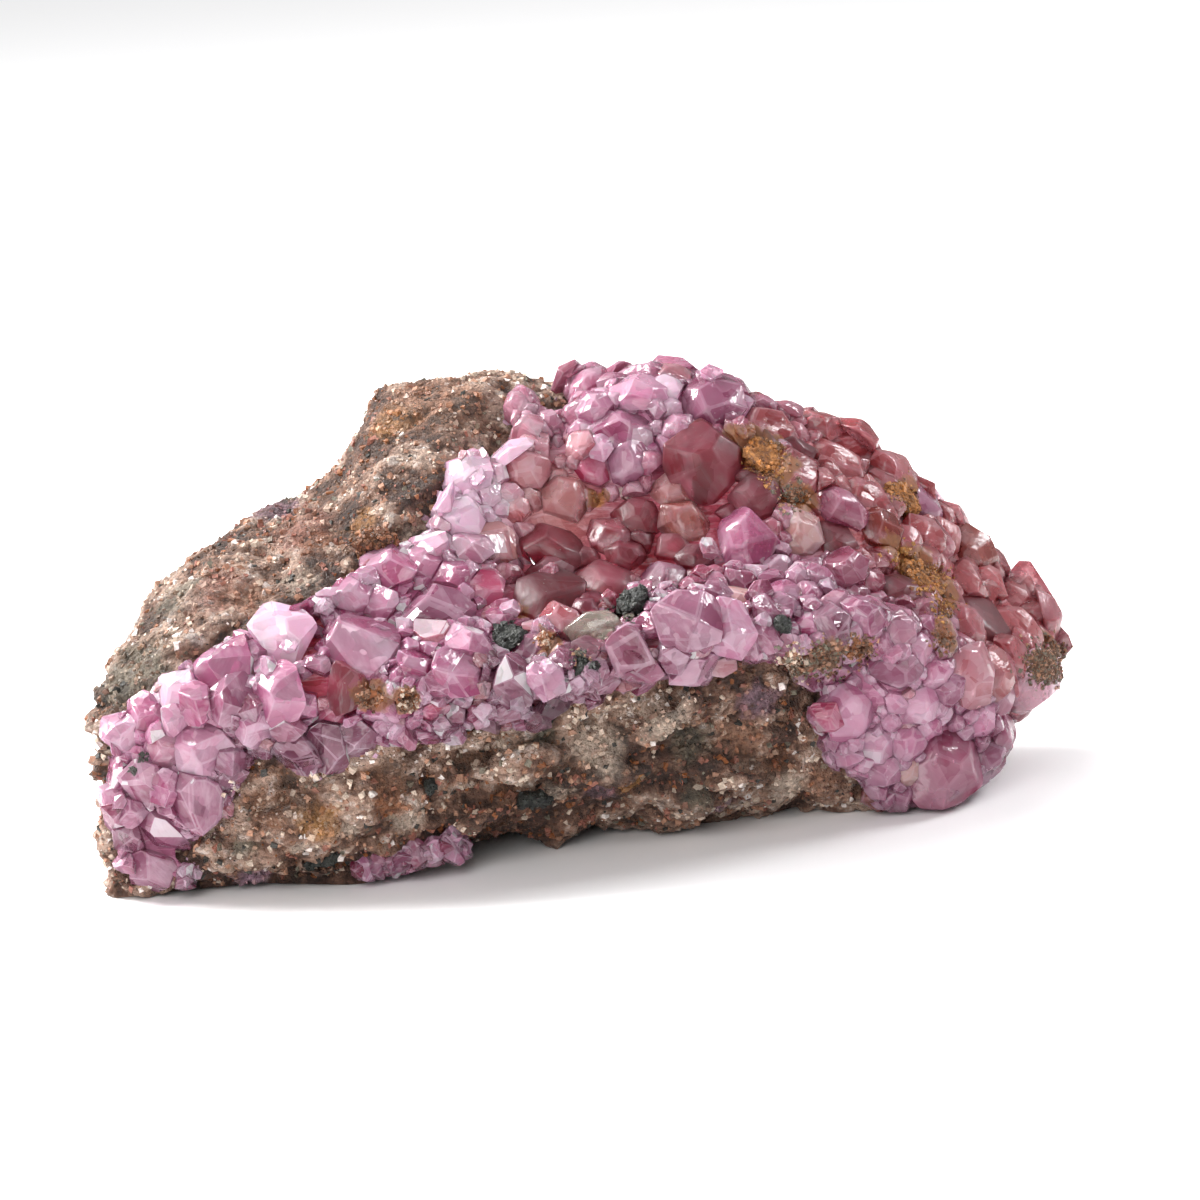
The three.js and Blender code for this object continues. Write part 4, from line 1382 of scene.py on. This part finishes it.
rockMesh, rockClusters = makeRockMesh()
stainPlaces = hitPatches(BVHTree.FromBMesh(rockMesh))
rockFaces = [(face.calc_center_median(), face.normal.copy(), face.calc_area()) for face in rockMesh.faces]
rock = addPiece("rock", rockMesh, rockMaterial())
paint(rock.data, "stain", [stainAt(vert.co) for vert in rock.data.vertices])
setValues(rock.data, "raised", rockClusters)
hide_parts("host_rock")
print("rock made:", len(rock.data.polygons), "faces")


# Loose mineral grains that stand out of the rock

grainSetting = {
    "counts": {"rock_grains_front": 13500, "rock_grains_back": 9000},
    "sizes": (0.25, 0.95),                     # mm
    "fewLarge": 2.4,                           # power of the size, so that most grains are small
    "clusters": {
        "pale": ("cream", "tan", "cream", "white", "cream", "tan"),
        "plain": ("tan", "greenGrey", "tan", "reddish"),
        "deep": ("brown", "rust", "reddish", "brown"),
    },
    "paleFrom": 0.12,                          # cluster values where pale grains begin and deep ones end
    "deepTo": -0.14,
    "clusterVaries": 0.2,
    "stained": 0.6,
    "border": {"reach": 1.6 * mm, "stains": ("lilac", "cream", "cream", "violet", "tan"), "swell": 1.4},
    "clear": {"ground": 0.9 * mm, "crust": 0.2 * mm},
    "black": 0.05,
    "seed": 3,
}

grainShape = {"block": 0.8, "tilt": 0.7, "squash": (0.6, 1.1), "jitter": 0.16, "shade": (0.8, 1.2)}
batchLimit = 60                                # small batches keep the operators quick


def grainMaterial():
    material, tree, shader = newMaterial("mineral_grains")
    place = objectPlace(tree)
    shade = ranged(tree, cloud(tree, place, 1800, 3), 0.3, 0.7, 0.75, 1.25)
    plugAll(tree, shader.inputs, {
        "Base Color": shaded(tree, attribute(tree, "tone")["Color"], shade),
        "Roughness": ranged(tree, cloud(tree, place, 600, 2), 0.4, 0.6, 0.25, 0.75),
    })
    sugar = grouped(tree, sugarGroup, place, Scale=5200, Fine=2)
    bumped(tree, sugar["Height"], 0.12 * mm, 0.7, shader)
    return material


grainFinish = grainMaterial()


def newBatch():
    bm = bmesh.new()
    bm.verts.layers.float_color.new("tone")
    return bm


class GrainHeap:
    def __init__(self):
        self.all = newBatch()
        self.batch = newBatch()
        self.batchSize = 0

    def add(self, place, normal, size, tone, rng, sink=0.1):
        turn = spunAround((normal + scattered(rng, grainShape["tilt"])).normalized(), rng)
        squash = Vector([rng.uniform(*grainShape["squash"]) for _ in range(3)]) * size
        matrix = Matrix.LocRotScale(place - normal * size * sink, turn, squash)
        made = bmesh.ops.create_cube(self.batch, size=grainShape["block"], matrix=matrix)["verts"]
        layer = self.batch.verts.layers.float_color["tone"]
        shade = rng.uniform(*grainShape["shade"])
        for vert in made:
            vert.co += scattered(rng, grainShape["jitter"], size)
            vert[layer] = (*(tone * shade), 1)
        self.batchSize += 1
        if self.batchSize == batchLimit:
            self.pour()

    def pour(self):
        mesh = bpy.data.meshes.new("batch")
        self.batch.to_mesh(mesh)
        self.batch.free()
        self.all.from_mesh(mesh)
        bpy.data.meshes.remove(mesh)
        self.batch = newBatch()
        self.batchSize = 0

    def piece(self, name, slotName):
        self.pour()
        self.batch.free()
        return addPiece(name, self.all, grainFinish, smooth=False)


def grainTone(p, rng):
    value = clusterAt(p) + shaky(rng, grainSetting["clusterVaries"])
    cluster = "plain"
    if value > grainSetting["paleFrom"]:
        cluster = "pale"
    elif value < grainSetting["deepTo"]:
        cluster = "deep"
    if rng.random() < grainSetting["black"]:
        return Vector(stains["dark"])
    tone = Vector(stains[rng.choice(grainSetting["clusters"][cluster])])
    stain = stainAt(p)
    return tone.lerp(Vector(stain[:3]), grainSetting["stained"] * stain[3])


def grainFaces(front):
    ground = grainSetting["clear"]["ground"]
    return [face for face in rockFaces if (face[1].dot(ahead) < 0.1) == front and face[0].z > ground]


def scatterGrains():
    rng = random.Random(grainSetting["seed"])
    border = grainSetting["border"]
    for name, count in grainSetting["counts"].items():
        heap = GrainHeap()
        faces = grainFaces(name.endswith("front"))
        for centre, normal, _ in rng.choices(faces, weights=[face[2] for face in faces], k=count):
            edge = bedTree.find_nearest(centre)[3]
            if edge < grainSetting["clear"]["crust"]:
                continue
            size = between(grainSetting["sizes"], rng.random() ** grainSetting["fewLarge"]) * mm
            tone = grainTone(centre, rng)
            if edge < border["reach"] * rng.random():
                tone = Vector(stains[rng.choice(border["stains"])])
                size *= border["swell"]
            heap.add(centre, normal, size, tone, rng)
        heap.piece(name, "rock")


scatterGrains()
print("grains scattered")


# Brown iron oxide, ochre limonite and dark grains

# Each kind by how the names of its solid pieces begin; height is in mm
crumbKinds = {
    "limonite": {
        "slot": "limonite", "height": 1.3, "scale": 260, "press": 0.72, "grains": 260,
        "stain": (0.26, 0.105, 0.03), "deep": (0.11, 0.034, 0.010),
        "light": (0.46, 0.19, 0.05), "roughness": 0.6,
    },
    "brown_oxide": {
        "slot": "brown_oxide", "height": 0.8, "scale": 700, "press": 0.0, "grains": 500,
        "stain": (0.13, 0.05, 0.022), "deep": (0.05, 0.018, 0.009),
        "light": (0.24, 0.11, 0.055), "roughness": 0.5,
    },
    "dark_grain": {
        "slot": "dark_mineral", "height": 0.7, "scale": 400, "press": 0.35, "grains": 40,
        "stain": (0.015, 0.017, 0.014), "deep": (0.004, 0.005, 0.004),
        "light": (0.022, 0.024, 0.018), "roughness": 0.3,
    },
}

crumbSetting = {"voxel": 0.28 * mm, "smoothing": 3, "pressWithin": 4 * mm, "grainSizes": (0.3, 0.8),
                "shades": (0.5, 1, 1.3, 1.8)}


def crumbMaterial(kind):
    material, tree, shader = newMaterial(kind["slot"] + "_crumb")
    place = objectPlace(tree)
    colour = mixed(tree, patchy(tree, place, 900, 0.38, 0.62, 6), kind["deep"], kind["light"])
    sugar = grouped(tree, sugarGroup, place, Scale=3000, Fine=2)
    plugAll(tree, shader.inputs, {
        "Base Color": shaded(tree, colour, ranged(tree, sugar["Shade"], 0, 1, 0.7, 1.3)),
        "Roughness": ranged(tree, sugar["Gloss"], 0, 1, kind["roughness"], kind["roughness"] + 0.3),
    })
    bumped(tree, sugar["Height"], 0.25 * mm, 0.9, shader)
    return material


crumbFinishes = {name: crumbMaterial(kind) for name, kind in crumbKinds.items()}


def makeCrumb(name, kindName, heap):
    kind = crumbKinds[kindName]
    bm = remeshed(mergedCopy(name), crumbSetting["voxel"])
    smoothed(bm, crumbSetting["smoothing"])
    for vert in bm.verts:
        lift = noise.fractal(vert.co * kind["scale"], 1.0, 2.0, 4)
        vert.co += vert.normal * lift * kind["height"] * mm
        ground, normal = bedTree.find_nearest(vert.co)[:2]
        above = (vert.co - ground).dot(normal)
        if 0 < above < crumbSetting["pressWithin"]:
            vert.co -= normal * above * kind["press"]
    bm.normal_update()
    rng = random.Random(name)
    for face in rng.choices(bm.faces[:], k=kind["grains"]):
        tone = Vector(kind["stain"]) * rng.choice(crumbSetting["shades"])
        size = rng.uniform(*crumbSetting["grainSizes"]) * mm
        heap.add(face.calc_center_median(), face.normal, size, tone, rng)
    piece = addPiece(name + "_crumb", bm, crumbFinishes[kindName])
    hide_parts(name)


def makeCrumbs():
    heap = GrainHeap()
    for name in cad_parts:
        for kindName in crumbKinds:
            if name.startswith(kindName):
                makeCrumb(name, kindName, heap)
    heap.piece("crumb_grains", "brown_oxide")


makeCrumbs()
print("oxide and dark grains made")


# Small mineral specks on the crust: pixel, reach in pixels, how many, and their stains

crustSpecks = {
    "brownLeft": (370, 697, 14, 200, ("brown", "brown", "rust", "tan")),
    "brownRight": (407, 700, 13, 160, ("brown", "brown", "rust", "cream")),
    "blackHigh": (143, 757, 6, 22, ("dark",)),
    "blackLow": (133, 770, 5, 18, ("dark",)),
    "orangeSpot": (598, 497, 8, 40, ("ochre", "rust")),
    "ochreUpper": (770, 466, 24, 260, ("ochre", "tan", "brown", "rust")),
    "greyUpper": (792, 497, 20, 150, ("greenGrey", "brown", "tan")),
    "ochreTop": (905, 493, 17, 120, ("ochre", "brown", "tan")),
    "orangeStart": (905, 560, 16, 160, ("ochre", "rust", "ochre")),
    "orangeRight": (930, 580, 22, 300, ("ochre", "rust", "rust")),
    "orangeLow": (944, 608, 16, 160, ("ochre", "rust", "brown")),
    "rustFar": (943, 640, 13, 90, ("rust", "brown")),
    "darkRidge": (512, 634, 12, 70, ("dark", "dark", "greenGrey", "white")),
    "darkPlate": (627, 612, 14, 110, ("dark", "dark", "greenGrey")),
    "darkBelow": (580, 658, 12, 60, ("dark", "greenGrey", "tan")),
    "darkRight": (783, 626, 8, 40, ("dark",)),
    "plateEdge": (545, 640, 12, 60, ("tan", "cream", "rust")),
    "edgeLeft": (235, 792, 12, 40, ("white", "cream", "lilac")),
    "tongueRight": (860, 648, 16, 240, ("brown", "tan", "rust", "brown")),
    "tongue": (826, 658, 22, 420, ("brown", "tan", "brown", "greenGrey")),
    "tongueLeft": (793, 665, 20, 300, ("tan", "cream", "brown", "greenGrey")),
    "nub": (1048, 664, 26, 1000, ("brown", "tan", "brown", "greenGrey")),
}


speckSetting = {"spread": 2.6, "sizes": (0.2, 0.6), "sink": 0.15, "seed": 31}


def crustSurface():
    verts, polygons = [], []
    for piece in crystalPieces:
        start = len(verts)
        verts += [vert.co.copy() for vert in piece.data.vertices]
        polygons += [[start + corner for corner in polygon.vertices] for polygon in piece.data.polygons]
    return BVHTree.FromPolygons(verts, polygons)


def scatterSpecks():
    rng = random.Random(speckSetting["seed"])
    surface = crustSurface()
    heap = GrainHeap()
    for x, y, reach, count, kinds in crustSpecks.values():
        for _ in range(count):
            at = [pixel + rng.gauss(0, reach / speckSetting["spread"]) for pixel in (x, y)]
            hit, normal = surface.ray_cast(photo["position"], pixelRay(at))[:2]
            if hit:
                tone = Vector(stains[rng.choice(kinds)])
                size = rng.uniform(*speckSetting["sizes"]) * mm
                heap.add(hit, normal, size, tone, rng, speckSetting["sink"])
    heap.piece("crust_specks", "brown_oxide")


scatterSpecks()
print("specks scattered")


# Clear calcite plate and the violet calcite seam

clearSetting = {"colour": (0.80, 0.80, 0.66), "veil": (0.86, 0.83, 0.74), "roughness": (0.06, 0.35),
                "transmission": 0.9, "ior": 1.6, "raised": 0.8 * mm, "edge": 0.25 * mm}


def clearMaterial():
    material, tree, shader = newMaterial("clear_calcite_glass")
    place = objectPlace(tree)
    veil = ranged(tree, cloud(tree, place, 700, 4), 0.45, 0.7)
    plugAll(tree, shader.inputs, {
        "Base Color": mixed(tree, veil, clearSetting["colour"], clearSetting["veil"]),
        "Roughness": ranged(tree, veil, 0, 1, *clearSetting["roughness"]),
        "Transmission Weight": clearSetting["transmission"],
        "IOR": clearSetting["ior"],
    })
    bumped(tree, cloud(tree, place, 900, 3), 0.2 * mm, 0.4, shader)
    return material


def makeClearPlate():
    bm = mergedCopy("clear_calcite_plate")
    bevelled(bm, bm.edges[:], clearSetting["edge"], 2)
    bmesh.ops.triangulate(bm, faces=[face for face in bm.faces if len(face.verts) > 4])
    outward = bedTree.find_nearest(bm.verts[:][0].co)[1]
    bmesh.ops.translate(bm, verts=bm.verts, vec=outward * clearSetting["raised"])
    bm.normal_update()
    piece = addPiece("clear_plate", bm, clearMaterial())
    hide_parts("clear_calcite_plate")


makeClearPlate()

seamSetting = {"voxel": 0.4 * mm, "smoothing": 6, "sink": 0.25 * mm, "neighbours": 5 * mm, "count": 90,
               "widths": (1.4, 2.8), "tones": ("lilac", "violet", "pale", "violet"), "blunt": 0.3,
               "lowest": 1 * mm, "bedShade": 0.8, "seed": 8}


def makeSeam():
    seamTree = BVHTree.FromBMesh(mergedCopy("seam_calcite"))
    bm = remeshed(mergedCopy("seam_calcite"), seamSetting["voxel"])
    smoothed(bm, seamSetting["smoothing"])
    rng = random.Random(seamSetting["seed"])
    around = Neighbourhood(seamSetting["neighbours"])
    crystals = []
    for face in rng.choices(bm.faces[:], k=seamSetting["count"]):
        p = face.calc_center_median()
        if p.z < seamSetting["lowest"]:
            continue
        width = rng.uniform(*seamSetting["widths"]) * mm
        tone = Vector(tones[rng.choice(seamSetting["tones"])])
        crystal = newCrystal(p.copy(), face.normal.copy(), width, tone, seamSetting["blunt"])
        around.add(crystal["at"], crystal)
        crystals.append(crystal)
    for vert in bm.verts:
        vert.co -= vert.normal * seamSetting["sink"]
    base = addPiece("seam_bed", bm, calcite["bed"])
    # painted shade: the seam's bed under its crystals is drawn a darker violet
    deepViolet = Vector(tones["violet"]) * seamSetting["bedShade"]
    paint(base.data, "tone", [(*deepViolet, 0.2) for _ in base.data.vertices])
    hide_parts("seam_calcite")
    grown = bmesh.new()
    for crystal in crystals:
        growCrystal(grown, crystal, around, rng, seamTree)
    addPiece("seam_crystals", grown, calcite["milky"], smooth=None)


makeSeam()
print("plate and seam made")
